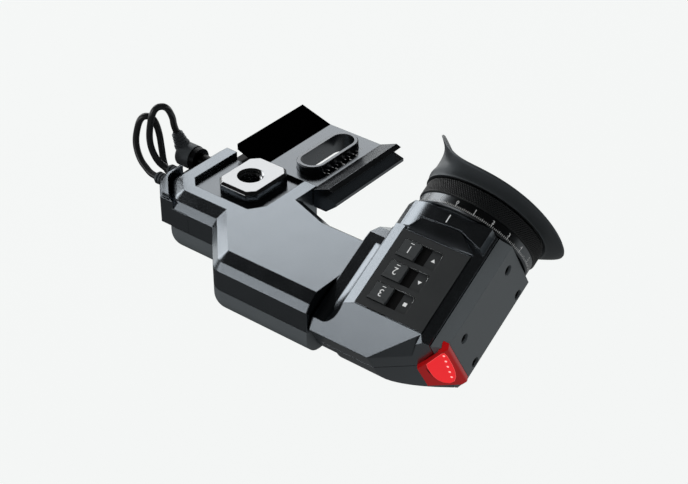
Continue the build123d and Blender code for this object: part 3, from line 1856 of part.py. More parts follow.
def past_rim(back):
    """All that lies beyond the rim line, or beyond that line moved back to the housing."""
    with BuildPart() as beyond:
        with BuildSketch(level(-deep / 2)):
            with BuildLine():
                rim = Spline(*[
                    (eye_x + across * lip_r, cup_start + along * lip_r - back) for across, along in rim_line
                ])
                Polyline(rim @ 1, (eye_x - 1.4 * lip_r, deep), (eye_x + 1.4 * lip_r, deep), rim @ 0)
            make_face()
        extrude(amount=deep + 20.0)
    return beyond.part


def lip(radius, near, far):
    """Flange about the cup's bore that follows the rim line, between two distances from it."""
    with BuildPart() as flange:
        add(turned([
            (cup_start, cup_bore_r), (2 * cup_start, cup_bore_r), (2 * cup_start, radius), (cup_start, radius)
        ]))
        add(past_rim(near), mode=Mode.SUBTRACT)
        add(past_rim(far), mode=Mode.INTERSECT)
    return flange.part


with BuildPart() as eyecup:
    add(lip(cup_bore_r + cup_wall, 0, deep))
    add(lip(cup_bore_r + lip_root, 0, 2 * lip_thick))
    add(lip(lip_r, 0, lip_thick))
write_part(eyecup, "eyecup")
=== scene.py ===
"""The looks of a camera viewfinder: an arm with a rail and a thread, and a tilting eyepiece."""

import json
import math

import bpy
import numpy as np
from mathutils import Matrix, Vector


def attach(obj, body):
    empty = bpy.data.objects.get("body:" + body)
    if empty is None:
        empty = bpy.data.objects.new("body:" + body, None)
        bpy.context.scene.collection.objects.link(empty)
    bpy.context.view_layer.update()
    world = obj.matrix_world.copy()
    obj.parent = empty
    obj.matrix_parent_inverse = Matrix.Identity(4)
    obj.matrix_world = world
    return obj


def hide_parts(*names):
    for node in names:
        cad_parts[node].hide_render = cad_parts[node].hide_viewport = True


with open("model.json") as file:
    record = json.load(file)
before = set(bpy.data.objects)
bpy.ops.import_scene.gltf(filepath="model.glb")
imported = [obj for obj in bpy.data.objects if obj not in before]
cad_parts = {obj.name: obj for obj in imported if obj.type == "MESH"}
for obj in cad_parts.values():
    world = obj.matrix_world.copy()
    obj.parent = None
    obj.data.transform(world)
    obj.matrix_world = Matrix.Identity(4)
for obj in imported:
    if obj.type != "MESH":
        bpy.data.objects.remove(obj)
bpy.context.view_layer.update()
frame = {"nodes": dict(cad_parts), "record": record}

MM = 0.001

# The point that the eyepiece tilts about, in metres, and the ways of its optical axis and its buttons
TILT_POINT = np.array([0.0, -24.6, -16.4]) * MM
TILT_REST = math.radians(30)
EYE_DIR = np.array([0.0, math.cos(TILT_REST), math.sin(TILT_REST)])
OUT_DIR = np.array([0.0, -math.sin(TILT_REST), math.cos(TILT_REST)])

# The optical axis in the housing, in mm, as every size below that has no other unit
EYE_X = 101.3
EYE_HEIGHT = 3.4

# How far printed marks stand off what carries them
PRINT_LIFT = 0.01


def in_housing(x, along, out):
    """Points of the tilted housing: x, along the optical axis and out of the button panel, in mm."""
    x, along, out = np.broadcast_arrays(*(np.asarray(v, float) for v in (x, along, out)))
    across = np.stack([x, np.zeros_like(x), np.zeros_like(x)], -1)
    return TILT_POINT + (across + along[..., None] * EYE_DIR + out[..., None] * OUT_DIR) * MM


def round_eye(turn, along, radius):
    """Points of a circle about the optical axis: turn in radians from +X, along the axis and radius in mm."""
    return in_housing(EYE_X + radius * np.cos(turn), along, EYE_HEIGHT + radius * np.sin(turn))


# Camera, matched to the photograph

CAMERA_PLACE = (0.3747, -0.4121, 0.3457)
CAMERA_RIGHT = Vector((0.7836, 0.6213, 0.0)).normalized()
CAMERA_UP = Vector((-0.3495, 0.4408, 0.8268)).normalized()


def make_camera():
    """A long lens above the front right corner, looking down at the object."""
    data = bpy.data.cameras.new("camera")
    data.lens = 85.0
    data.sensor_width = 36.0
    data.clip_start = 0.01
    camera = bpy.data.objects.new("camera", data)
    bpy.context.scene.collection.objects.link(camera)
    turned = Matrix((CAMERA_RIGHT, CAMERA_UP, CAMERA_RIGHT.cross(CAMERA_UP))).transposed().to_4x4()
    camera.matrix_world = Matrix.Translation(CAMERA_PLACE) @ turned
    bpy.context.scene.camera = camera


make_camera()


# Shader nodes

def ramp(nodes, links, source, start, end, low=0.0, high=1.0):
    """A value that runs from low to high while the source runs from start to end."""
    node = nodes.new("ShaderNodeMapRange")
    node.inputs["From Min"].default_value = start
    node.inputs["From Max"].default_value = end
    node.inputs["To Min"].default_value = low
    node.inputs["To Max"].default_value = high
    links.new(source, node.inputs["Value"])
    return node.outputs["Result"]


def combined(nodes, links, operation, first, second):
    """Two values made one by a math operation."""
    node = nodes.new("ShaderNodeMath")
    node.operation = operation
    links.new(first, node.inputs[0])
    links.new(second, node.inputs[1])
    return node.outputs[0]


def speckle(nodes, links, place, scale, detail):
    """Noise on the object's own coordinates."""
    node = nodes.new("ShaderNodeTexNoise")
    node.inputs["Scale"].default_value = scale
    node.inputs["Detail"].default_value = detail
    links.new(place, node.inputs["Vector"])
    return node.outputs["Fac"]


# Finishes

TONE_SCALE = 90.0
TONE_CHANGE = 0.06
GLOSS_CHANGE = 0.05
GRAIN_SIZE = 0.3
GRAIN_DEPTH = 0.05
finishes = {}


def finish(slot, colour, rough, metal=0.0, level=0.5, grain=0.0, edge=0.25, glow=None, strength=0.0):
    """A plain surface with fine grain, slow changes of tone and gloss, and edges rounded in the shading."""
    material = bpy.data.materials.new(slot)
    material.use_nodes = True
    nodes = material.node_tree.nodes
    links = material.node_tree.links
    shader = nodes["Principled BSDF"]
    shader.inputs["Metallic"].default_value = metal
    shader.inputs["Specular IOR Level"].default_value = level
    if glow:
        shader.inputs["Emission Color"].default_value = (*glow, 1)
        shader.inputs["Emission Strength"].default_value = strength
    place = nodes.new("ShaderNodeTexCoord").outputs["Object"]
    clouds = speckle(nodes, links, place, TONE_SCALE, 4.0)
    tone = nodes.new("ShaderNodeMix")
    tone.data_type = "RGBA"
    tone.inputs["A"].default_value = (*(c * (1 - TONE_CHANGE) for c in colour), 1)
    tone.inputs["B"].default_value = (*(min(1.0, c * (1 + TONE_CHANGE)) for c in colour), 1)
    links.new(clouds, tone.inputs["Factor"])
    links.new(tone.outputs["Result"], shader.inputs["Base Color"])
    smoothest = max(0.02, rough - GLOSS_CHANGE)
    roughest = min(1.0, rough + GLOSS_CHANGE)
    links.new(ramp(nodes, links, clouds, 0.0, 1.0, smoothest, roughest), shader.inputs["Roughness"])
    soft_edge = nodes.new("ShaderNodeBevel")
    soft_edge.samples = 6
    soft_edge.inputs["Radius"].default_value = edge * MM
    bump = nodes.new("ShaderNodeBump")
    bump.inputs["Strength"].default_value = grain
    bump.inputs["Distance"].default_value = GRAIN_DEPTH * MM
    links.new(speckle(nodes, links, place, 1.0 / (GRAIN_SIZE * MM), 2.0), bump.inputs["Height"])
    links.new(soft_edge.outputs["Normal"], bump.inputs["Normal"])
    links.new(bump.outputs["Normal"], shader.inputs["Normal"])
    finishes[slot] = material


finish("arm_paint", (0.270, 0.298, 0.325), 0.25, metal=1.0, grain=0.40, edge=0.5)
finish("cover_plastic", (0.115, 0.129, 0.139), 0.42, grain=0.35, edge=0.4)
finish("black_paint", (0.190, 0.205, 0.220), 0.24, metal=1.0, grain=0.08, edge=0.2)
finish("nut_steel", (0.44, 0.45, 0.46), 0.16, metal=1.0, grain=0.03, edge=0.15)
finish("steel", (0.50, 0.51, 0.52), 0.32, metal=1.0)
finish("dark_steel", (0.016, 0.017, 0.018), 0.40, metal=1.0)
finish("anodised", (0.20, 0.212, 0.225), 0.27, metal=1.0, grain=0.1)
finish("frame_alloy", (0.55, 0.56, 0.57), 0.5, metal=1.0)
finish("bronze", (0.55, 0.36, 0.16), 0.35, metal=1.0)
finish("black_plastic", (0.010, 0.011, 0.012), 0.34, level=0.6, grain=0.15, edge=0.15)
finish("panel_plastic", (0.030, 0.033, 0.035), 0.40, level=0.8, grain=0.2, edge=0.12)
finish("black_rubber", (0.085, 0.095, 0.103), 0.46, metal=0.6, grain=0.25, edge=0.2)
finish("button_cap", (0.050, 0.055, 0.058), 0.42, level=0.7, grain=0.2, edge=0.12)
# Near black that stands for shade: the painted shade beside the buttons and the painted shadow line by the
# tally window.
finish("deep_black", (0.004, 0.004, 0.004), 0.5, level=0.2)
finish("cable_skin", (0.012, 0.013, 0.014), 0.30, level=0.8, grain=0.1, edge=0.1)
finish("board_green", (0.01, 0.09, 0.04), 0.5)
finish("display_glass", (0.01, 0.01, 0.013), 0.08, level=0.6)
finish("dome_steel", (0.6, 0.6, 0.58), 0.25, metal=1.0)
finish("white_print", (0.95, 0.96, 0.96), 0.5, level=0.4)
# Bright metal that stands for light: the painted highlights along the slots' far edges.
finish("bright_edge", (0.55, 0.57, 0.58), 0.3, metal=1.0)
finish("clear_glass", (0.92, 0.95, 0.96), 0.02, edge=0.05)
finish("red_lens", (0.42, 0.002, 0.004), 0.14, edge=0.4, glow=(1.0, 0.012, 0.012), strength=0.10)
finish("rim_red", (0.9, 0.12, 0.12), 0.3, glow=(1.0, 0.10, 0.10), strength=0.55)
finish("lit_red", (0.85, 0.010, 0.016), 0.18, level=0.6, edge=0.2, glow=(1.0, 0.022, 0.030), strength=0.50)
finish("led_glow", (1.0, 0.5, 0.5), 0.3, glow=(1.0, 0.42, 0.38), strength=0.9)

glass_shader = finishes["clear_glass"].node_tree.nodes["Principled BSDF"]
glass_shader.inputs["Transmission Weight"].default_value = 1.0
glass_shader.inputs["IOR"].default_value = 1.5

# Where the rail's wing, black paint deepened by painted shade, starts, in metres: its root, and the back of
# the arm
WING_ROOT = (-0.0035, -0.0038)
WING_FRONT = (0.0105, 0.0115)
# Near black: the wing's black paint deepened with painted shade.
WING_PAINT_AND_SHADE = (0.0015, 0.0015, 0.0018, 1)
WING_ROUGH = 0.10


def blackened_wing(material):
    """The flared wing is glossy black, its base made near black as painted shade for the dark it reflects: a
    mask that is 1 left of the wing's root and behind the arm.
    """
    nodes = material.node_tree.nodes
    links = material.node_tree.links
    place = nodes.new("ShaderNodeTexCoord")
    apart = nodes.new("ShaderNodeSeparateXYZ")
    links.new(place.outputs["Object"], apart.inputs[0])
    left = ramp(nodes, links, apart.outputs["X"], *WING_ROOT)
    behind = ramp(nodes, links, apart.outputs["Y"], *WING_FRONT)
    mask = combined(nodes, links, "MULTIPLY", left, behind)
    shader = nodes["Principled BSDF"]
    for socket, kind, end in (("Base Color", "RGBA", WING_PAINT_AND_SHADE), ("Roughness", "FLOAT", WING_ROUGH)):
        start = shader.inputs[socket].links[0].from_socket
        blend = nodes.new("ShaderNodeMix")
        blend.data_type = kind
        links.new(mask, blend.inputs["Factor"])
        links.new(start, blend.inputs["A"])
        blend.inputs["B"].default_value = end
        links.new(blend.outputs["Result"], shader.inputs[socket])


blackened_wing(finishes["black_paint"])

# The moulded covers are plainer than the painted arm, and the caps paler than other black plastic
MOULDED = ("bottom_cover", "side_cover")
CAPS = ("button_1", "button_2", "button_3")


def finish_nodes():
    """Every piece of the frame gets the finish of its slot, or the one of its group above."""
    own = {row["node"]: row["material_slot"] for row in frame["record"]["subparts"]}
    own.update({node: "cover_plastic" for node in MOULDED})
    own.update({node: "button_cap" for node in CAPS})
    for node, cad in frame["nodes"].items():
        cad.data.materials.clear()
        cad.data.materials.append(finishes[own[node]])


finish_nodes()


# Meshes

MARK_THICK = 0.05
TYPE_SHARE = 0.7


def around(columns):
    """Even turns of a whole circle, in radians."""
    return np.linspace(0, 2 * math.pi, columns, endpoint=False)


def grid_faces(rows, columns):
    """Quads of a grid of points, row after row, that closes on itself both ways."""
    row = np.arange(rows)[:, None]
    column = np.arange(columns)[None, :]
    next_row = (row + 1) % rows
    next_column = (column + 1) % columns
    corners = [row * columns + column, row * columns + next_column]
    corners += [next_row * columns + next_column, next_row * columns + column]
    return np.stack(corners, -1).reshape(-1, 4)


def outwards(points, faces):
    """The same closed quads, turned so that their volume is positive."""
    a, b, c, d = (points[faces[:, k]] for k in range(4))
    volume = (np.cross(a, b) * c).sum() + (np.cross(a, c) * d).sum()
    return faces if volume > 0 else faces[:, ::-1]


def piece(name, points, faces, finish_name, body, slot=None, sharp=None):
    """A new piece in metres on a body: flat, or smooth but for edges over the sharp angle."""
    mesh = bpy.data.meshes.new(name)
    mesh.from_pydata(np.asarray(points).tolist(), [], [list(map(int, f)) for f in faces])
    mesh.materials.append(finishes[finish_name])
    mesh.polygons.foreach_set("use_smooth", [sharp is not None] * len(mesh.polygons))
    if sharp is not None:
        mesh.set_sharp_from_angle(angle=math.radians(sharp))
    mesh.update()
    thing = bpy.data.objects.new(name, mesh)
    bpy.context.scene.collection.objects.link(thing)
    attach(thing, body)
    return thing


def turned_piece(name, rows, finish_name, body, slot, sharp):
    """A closed ring from its rows of points, each row once round."""
    points = np.concatenate(rows)
    faces = outwards(points, grid_faces(len(rows), len(rows[0])))
    return piece(name, points, faces, finish_name, body, slot, sharp)


def joined(parts):
    """Several (points, faces) as one."""
    points, faces, start = [], [], 0
    for some_points, some_faces in parts:
        points.append(np.asarray(some_points, float))
        faces.extend([[int(i) + start for i in f] for f in some_faces])
        start += len(some_points)
    return np.concatenate(points), faces


BOX_FACES = [(0, 3, 2, 1), (4, 5, 6, 7), (0, 1, 5, 4), (1, 2, 6, 5), (2, 3, 7, 6), (3, 0, 4, 7)]


def bar(left, right, low, high, thick=MARK_THICK):
    """A thin flat bar lying on a surface: its place across and up, in mm."""
    across = [left, right, right, left] * 2
    upward = [low, low, high, high] * 2
    out = [0.0] * 4 + [thick] * 4
    return np.stack([across, upward, out], -1), BOX_FACES


def plate(outline, thick=MARK_THICK):
    """A thin flat plate with this outline, given anticlockwise, in mm."""
    count = len(outline)
    flat_points = np.asarray(outline, float)
    low = np.column_stack([flat_points, np.zeros(count)])
    high = np.column_stack([flat_points, np.full(count, thick)])
    sides = [(k, (k + 1) % count, count + (k + 1) % count, count + k) for k in range(count)]
    faces = [tuple(range(count))[::-1], tuple(range(count, 2 * count)), *sides]
    return np.concatenate([low, high]), faces


def ribbon(line, width):
    """A thin flat band of this width along a line of points, in mm."""
    line = np.asarray(line, float)
    along = np.gradient(line, axis=0)
    along /= np.linalg.norm(along, axis=1)[:, None]
    aside = np.column_stack([-along[:, 1], along[:, 0]]) * width / 2
    return plate(np.concatenate([line - aside, (line + aside)[::-1]]))


def figure(text, height):
    """A number as a thin flat plate, centred, in mm."""
    letters = bpy.data.curves.new("letters", "FONT")
    letters.body = text
    letters.size = height / TYPE_SHARE
    letters.extrude = MARK_THICK / 2
    letters.resolution_u = 3
    writer = bpy.data.objects.new("letters", letters)
    bpy.context.scene.collection.objects.link(writer)
    bpy.context.view_layer.update()
    mesh = bpy.data.meshes.new_from_object(writer)
    points = np.array([v.co for v in mesh.vertices], float).reshape(-1, 3)
    faces = [tuple(f.vertices) for f in mesh.polygons]
    bpy.data.objects.remove(writer)
    bpy.data.curves.remove(letters)
    bpy.data.meshes.remove(mesh)
    points[:, :2] -= (points[:, :2].max(0) + points[:, :2].min(0)) / 2
    points[:, 2] += MARK_THICK / 2
    return points, faces


def shifted(shape, across, upward):
    """A flat shape moved on its surface."""
    points, faces = shape
    return points + np.array([across, upward, 0.0]), faces


# Cables: the routes of the solid source, in mm, as control points of one smooth curve

CABLE_R = 1.4
FRONT_ROUTE = [
    (-36.0, -9.9, -6.3), (-38.2, -9.9, -6.3), (-41.7, -10.9, -3.8), (-43.7, -12.3, 2.9),
    (-43.1, -13.0, 10.8), (-40.5, -12.2, 22.2), (-38.0, -7.4, 22.2), (-39.0, -3.0, 14.6),
    (-43.28, 1.44, 7.02), (-42.4, 2.0, 4.0),
]
REAR_ROUTE = [
    (-36.0, -17.0, -6.3), (-39.4, -17.0, -6.3), (-43.4, -15.9, -5.2), (-47.2, -15.0, -3.6),
    (-50.3, -14.0, 0.9), (-51.1, -13.0, 6.2), (-48.6, -11.8, 15.6), (-44.0, -9.2, 15.8),
    (-42.6, -7.8, 8.6), (-43.0, -6.6, -0.6), (-43.4, -5.6, -8.4), (-41.9, -4.7, -12.8),
    (-37.4, -4.6, -12.8),
]


def cable(name, route, replaced):
    """A round cable along the smooth curve that a route's points pull."""
    curve = bpy.data.curves.new(name, "CURVE")
    curve.dimensions = "3D"
    curve.bevel_depth = CABLE_R * MM
    curve.bevel_resolution = 6
    curve.resolution_u = 16
    curve.use_fill_caps = True
    spline = curve.splines.new("NURBS")
    spline.points.add(len(route) - 1)
    for point, place in zip(spline.points, route):
        point.co = (*(v * MM for v in place), 1.0)
    spline.order_u = 3
    spline.use_endpoint_u = True
    curve.materials.append(finishes["cable_skin"])
    thing = bpy.data.objects.new(name, curve)
    bpy.context.scene.collection.objects.link(thing)
    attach(thing, "arm")
    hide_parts(replaced)


cable("cable_front_skin", FRONT_ROUTE, "cable_front")
cable("cable_rear_skin", REAR_ROUTE, "cable_rear")


# Nut plate, with real thread turns in its hole

NUT_LEFT, NUT_RIGHT = -9.65, 10.65
NUT_FRONT, NUT_BACK = -11.6, 13.6
NUT_CORNER = 3.5
NUT_LOW = -4.7
NUT_LOW_EDGE = 0.15
# How far in from the outline, and how high, the rounded bevel and the top's first step run
NUT_BEVEL = [
    (0.0, -1.15), (0.05, -0.97), (0.16, -0.83), (0.82, -0.17), (0.95, -0.06), (1.15, 0.0), (1.4, 0.0),
]
SPIGOT_LOW = -7.7
SPIGOT_R = 7.19
MOUTH_R = 5.45
MOUTH_EDGE = 0.05
THREAD_TOP = -0.5
THREAD_CREST = 3.99
THREAD_ROOT = 4.72
THREAD_PITCH = 1.5875
STEPS_PER_TURN = 12


def nut_ray(turn, inset):
    """How far the nut plate's outline lies from the hole's axis, in the direction of each turn."""
    slant = math.sqrt(0.5)
    walls = [(1, 0, NUT_RIGHT), (-1, 0, -NUT_LEFT), (0, 1, NUT_BACK), (0, -1, -NUT_FRONT)]
    for side, reach_x in ((1, NUT_RIGHT), (-1, -NUT_LEFT)):
        for end, reach_y in ((1, NUT_BACK), (-1, -NUT_FRONT)):
            walls.append((side * slant, end * slant, (reach_x + reach_y) * slant - NUT_CORNER * slant))
    rays = []
    for normal_x, normal_y, reach in walls:
        facing = np.cos(turn) * normal_x + np.sin(turn) * normal_y
        rays.append(np.where(facing > 1e-6, (reach - inset) / np.maximum(facing, 1e-6), 1e3))
    return np.min(rays, 0)


def nut_piece():
    """The section runs up, over a rounded bevel, across the top and down the mouth and the thread's turns."""
    turn = around(240)
    rows = []

    def ring(radius, height):
        radius, height = np.broadcast_arrays(radius, height, turn)[:2]
        rows.append(np.stack([radius * np.cos(turn), radius * np.sin(turn), height], -1) * MM)

    ring(SPIGOT_R, SPIGOT_LOW)
    ring(SPIGOT_R, NUT_LOW)
    ring(nut_ray(turn, NUT_LOW_EDGE), NUT_LOW)
    ring(nut_ray(turn, 0.0), NUT_LOW + NUT_LOW_EDGE)
    for inset, height in NUT_BEVEL:
        ring(nut_ray(turn, inset), height)
    for outside, height in ((0.35, 0.0), (0.12, 0.0), (0.0, -MOUTH_EDGE)):
        ring(MOUTH_R + outside, height)
    steps = int((THREAD_TOP - SPIGOT_LOW) / THREAD_PITCH * STEPS_PER_TURN)
    for height in np.linspace(THREAD_TOP, SPIGOT_LOW, steps):
        phase = (height / THREAD_PITCH - turn / (2 * math.pi)) % 1.0
        tooth = np.clip(1.35 - 2.7 * np.abs(2 * phase - 1), 0, 1)
        wall = THREAD_ROOT + (THREAD_CREST - THREAD_ROOT) * tooth
        mouth = MOUTH_R + (height + MOUTH_EDGE)
        ring(np.maximum(wall, mouth), height)
    nut = turned_piece("nut_with_thread", rows, "nut_steel", "arm", "nut_steel", sharp=28)
    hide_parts("nut_plate")


nut_piece()


# Eyecup: a soft cup with a flared lip, long on the left

CUP_START = 50.8
CUP_WALL_R = 25.7
CUP_INNER_R = 24.2
CUP_ROWS = 34
LIP_REACH = 31.9
LIP_EDGE = 0.55
LIP_LOW = 54.5
LIP_CLIMB = 0.80
LIP_BEND = 4.0
LIP_CORNER_X = 94.0
SWELL = 0.55
SWELL_PLACE = 54.0


def rim_reach(turn):
    """Radius of the lip's edge, in mm: larger above, and drawn in on the left."""
    return LIP_REACH + 1.0 * np.sin(turn) - 3.2 * (0.5 - 0.5 * np.cos(turn)) ** 3


def rim_height(turn):
    """How far the lip stands along the axis: climbing smoothly to the left, and a little longer below."""
    x = EYE_X + rim_reach(turn) * np.cos(turn)
    left = LIP_CLIMB * LIP_BEND * np.log1p(np.exp(np.clip((LIP_CORNER_X - x) / LIP_BEND, -40, 40)))
    below = 2.4 * np.clip(-np.sin(turn), 0, 1) ** 1.5
    return LIP_LOW + left + below - 1.2 * np.clip(np.cos(turn), 0, 1) ** 4


def eyecup_piece():
    """At each turn the outside climbs the wall, flares to the lip, rolls over and runs back down inside."""
    turn = around(256)
    reach = rim_reach(turn)
    top = rim_height(turn)
    rows = []

    def flare(depth, wall, length):
        return wall + (reach - wall) * np.exp(-((depth / length) ** 1.25))

    def ring(radius, along):
        rows.append(round_eye(turn, along, radius))

    for share in np.linspace(0, 1, CUP_ROWS):
        along = CUP_START + (top - 2 * LIP_EDGE - CUP_START) * share
        rise = 1 - np.exp(-(((along - CUP_START) / 0.9) ** 2))
        swell = SWELL * np.exp(-(((along - SWELL_PLACE) / 1.7) ** 2)) * (1 - np.exp(-((top - along) / 3.5)))
        outside = flare(top - 2 * LIP_EDGE - along, CUP_WALL_R, 2.9) + swell
        ring(CUP_WALL_R + (outside - CUP_WALL_R) * rise, along)
    for angle in np.radians([-60, -25, 10, 45, 80]):
        ring(reach + LIP_EDGE * math.cos(angle), top - LIP_EDGE + LIP_EDGE * math.sin(angle))
    for share in np.linspace(0, 1, CUP_ROWS):
        along = top - (top - CUP_START - 0.3) * share
        rise = 1 - np.exp(-(((along - CUP_START - 0.3) / 1.1) ** 2))
        inside = np.maximum(flare((top - along) * 0.9, CUP_INNER_R, 3.2) - 0.45, CUP_INNER_R)
        ring(CUP_INNER_R + (inside - CUP_INNER_R) * rise, along)
    cup = turned_piece("eyecup_rubber", rows, "black_rubber", "eyecup", "black_rubber", sharp=70)
    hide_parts("eyecup")


eyecup_piece()


# Grip ring: fine knurl round the barrel

GRIP_START, GRIP_END = 44.0, 50.5
GRIP_R = 24.9
GRIP_BORE = 20.05
KNURL_STARTS = 75
KNURL_LOW = 0.30
KNURL_DEPTH = 0.34
KNURL_ROWS = 48


def grip_piece():
    """A turned ring whose outside carries a diamond knurl, the product of two slanting waves."""
    turn = around(1080)
    rows = [
        round_eye(turn, GRIP_START, GRIP_BORE),
        round_eye(turn, GRIP_START, GRIP_R - 0.5),
        round_eye(turn, GRIP_START + 0.4, GRIP_R - 0.1),
    ]
    for share in np.linspace(0, 1, KNURL_ROWS):
        along = GRIP_START + 0.6 + (GRIP_END - GRIP_START - 1.4) * share
        slant = share * math.pi * 4
        wave = np.abs(np.cos(KNURL_STARTS * turn + slant) * np.cos(KNURL_STARTS * turn - slant))
        rows.append(round_eye(turn, along, GRIP_R - KNURL_LOW + KNURL_DEPTH * wave))
    rows.append(round_eye(turn, GRIP_END - 0.5, GRIP_R - 0.05))
    rows.append(round_eye(turn, GRIP_END, GRIP_R - 0.6))
    rows.append(round_eye(turn, GRIP_END, GRIP_BORE))
    grip = turned_piece("grip_knurl", rows, "black_plastic", "focus_ring", "anodised", sharp=60)
    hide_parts("knurled_ring")


grip_piece()


# Marks on the focusing ring: the turn of its zero and of one number, in degrees

SCALE_R = 24.2
SCALE_STEP = 17.9
SCALE_ZERO = 89.3
SCALE_LAST = 5
DIGIT_ALONG = 42.35
DIGIT_HIGH = 1.4
TICKS_PER_STEP = 10
TICK_FOOT = 40.2
TICK_TOP = 40.95
MIDDLE_TICK_TOP = 41.2
LONG_TICK_TOP = 41.5


def on_scale(shape, turn):
    """Wraps a flat shape round the scale ring at a turn in degrees."""
    points, faces = shape
    angle = math.radians(turn) - points[:, 0] / SCALE_R
    return round_eye(angle, points[:, 1], SCALE_R + PRINT_LIFT + points[:, 2]), faces


def scale_marks():
    """Numbers at even turns, with ten fine ticks between them."""
    parts = []
    for number in range(-SCALE_LAST, SCALE_LAST + 1):
        turn = SCALE_ZERO - SCALE_STEP * number
        parts.append(on_scale(shifted(figure(str(abs(number)), DIGIT_HIGH), 0.0, DIGIT_ALONG), turn))
        for tick in range(TICKS_PER_STEP):
            top = {0: LONG_TICK_TOP, TICKS_PER_STEP // 2: MIDDLE_TICK_TOP}.get(tick, TICK_TOP)
            half = 0.11 if tick == 0 else 0.075
            tick_turn = turn - SCALE_STEP * tick / TICKS_PER_STEP
            parts.append(on_scale(bar(-half, half, TICK_FOOT, top), tick_turn))
    piece("scale_marks", *joined(parts), "white_print", "focus_ring")


scale_marks()


# Marks on the housing, the rail and the buttons

COLLAR_TOP = 25.0
INDEX_X = 100.5
PANEL_TOP = 23.4
SLOT_FLOOR = 22.7
BUTTON_TOP = 23.7
BUTTON_LEFT = 89.3
BUTTON_CAP = 8.0
BUTTON_SLOT = 16.9
BUTTON_WIDTH = 7.5
BUTTON_ROWS = (0.45, 10.1, 19.75)
SLOT_BEND_R = 1.6
SLOT_EDGE = 3.75
SIGN_X = 103.7
RAIL_FLAT = -3.0
RAIL_LINES = 10
RAIL_LINE_X = 18.9
RAIL_LINE_START = 23.7
RAIL_LINE_STEP = 2.71
RAIL_NUMBER_X = 20.8
RAIL_NUMBERS = (24.4, 29.4, 33.8, 38.4, 42.8)


def on_housing(shape, height, flip=False):
    """Lays a flat shape on the housing at this height; flipped, it reads from the eyecup's side."""
    points, faces = shape
    side = -1.0 if flip else 1.0
    return in_housing(side * points[:, 0], side * points[:, 1], height + PRINT_LIFT + points[:, 2]), faces


def index_mark():
    """The white line on the collar that the scale is read against."""
    line = shifted(bar(-0.22, 0.22, 34.5, 37.9), INDEX_X, 0.0)
    piece("index_mark", *on_housing(line, COLLAR_TOP), "white_print", "eyepiece")


def rail_marks():
    """A short ruled scale beside the slot, with a number at about every second line."""
    parts = []
    for line in range(RAIL_LINES):
        along = RAIL_LINE_START + line * RAIL_LINE_STEP
        parts.append(shifted(bar(-0.6, 0.6, -0.11, 0.11), RAIL_LINE_X, along))
    for number, along in enumerate(RAIL_NUMBERS, 1):
        points, faces = figure(str(number), 1.3)
        sideways = np.column_stack([-points[:, 1], points[:, 0], points[:, 2]])
        parts.append(shifted((sideways, faces), RAIL_NUMBER_X, along))
    points, faces = joined(parts)
    points = (points + np.array([0, 0, RAIL_FLAT + PRINT_LIFT])) * MM
    piece("rail_marks", points, faces, "white_print", "arm")


def button_marks():
    """A number on each button, with a row of ribs by its far edge and a short line below."""
    middle = BUTTON_LEFT + BUTTON_CAP / 2
    for index, row in enumerate(BUTTON_ROWS):
        parts = [shifted(figure(str(3 - index), 3.0), -middle, -row)]
        for rib in range(7):
            across = -middle + (rib - 3) * 0.85
            parts.append(shifted(bar(-0.28, 0.28, -0.2, 0.2), across, -row + BUTTON_WIDTH / 2 - 1.15))
        parts.append(shifted(bar(-0.8, 0.8, -0.14, 0.14), -middle, -row - BUTTON_WIDTH / 2 + 1.2))
        points, faces = on_housing(joined(parts), BUTTON_TOP, flip=True)
        piece(f"button_marks_{index + 1}", points, faces, "white_print", f"button_{index + 1}")


def panel_trim():
    """A painted highlight along the far edge of each slot, rounded at its right end, and painted shade in the
    gap beside each button.
    """
    right = BUTTON_LEFT + BUTTON_SLOT
    middle_x, middle_y = right - SLOT_BEND_R, SLOT_EDGE - SLOT_BEND_R
    quarter = np.linspace(0, math.pi / 2, 6)
    bend = [(middle_x + SLOT_BEND_R * math.sin(a), middle_y + SLOT_BEND_R * math.cos(a)) for a in quarter]
    line = [(BUTTON_LEFT + 0.8, SLOT_EDGE), (BUTTON_LEFT + 8.0, SLOT_EDGE), *bend, (right, 1.2)]
    edges, shade_bars = [], []
    for row in BUTTON_ROWS:
        # Painted highlight: a bright band along each slot's far edge.
        edges.append(shifted(ribbon(line, 0.26), 0.0, row))
        # Painted shade: a black bar on the slot floor beside each button.
        shade_bars.append(bar(BUTTON_LEFT + BUTTON_CAP, BUTTON_LEFT + 12.0, row - 3.6, row + 3.6, 0.03))
    piece("slot_painted_highlights", *on_housing(joined(edges), PANEL_TOP), "bright_edge", "eyepiece")
    piece("slot_painted_shade", *on_housing(joined(shade_bars), SLOT_FLOOR), "deep_black", "eyepiece")


def panel_marks():
    """Two arrows and a square beside the buttons."""
    parts = [
        shifted(bar(-0.75, 0.75, -0.75, 0.75), SIGN_X, BUTTON_ROWS[0]),
        shifted(plate([(0.9, 0.6), (-0.9, 0.6), (0.0, -0.8)]), SIGN_X, BUTTON_ROWS[1]),
        shifted(plate([(-0.9, -0.6), (0.9, -0.6), (0.0, 0.8)]), SIGN_X, BUTTON_ROWS[2]),
    ]
    piece("panel_marks", *on_housing(joined(parts), SLOT_FLOOR), "white_print", "eyepiece")


index_mark()
rail_marks()
button_marks()
panel_trim()
panel_marks()


# Tally lamp: the lit window and its five small lamps on the lens

CORNER_ANGLE = math.radians(28)
CORNER_X, CORNER_ALONG = 99.2, -18.9
LENS_OUT = 1.90
WINDOW_THICK = 0.10
TALLY_WINDOW = [
    (18.3, 6.0), (18.2, 2.5), (18.5, -1.2), (19.3, -4.2), (20.7, -6.3), (22.8, -7.2), (24.9, -5.8),
    (26.3, -2.4), (27.2, 2.0), (27.6, 7.5), (27.6, 14.0), (27.2, 16.6), (26.3, 16.4), (22.5, 12.6),
    (18.6, 8.6),
]
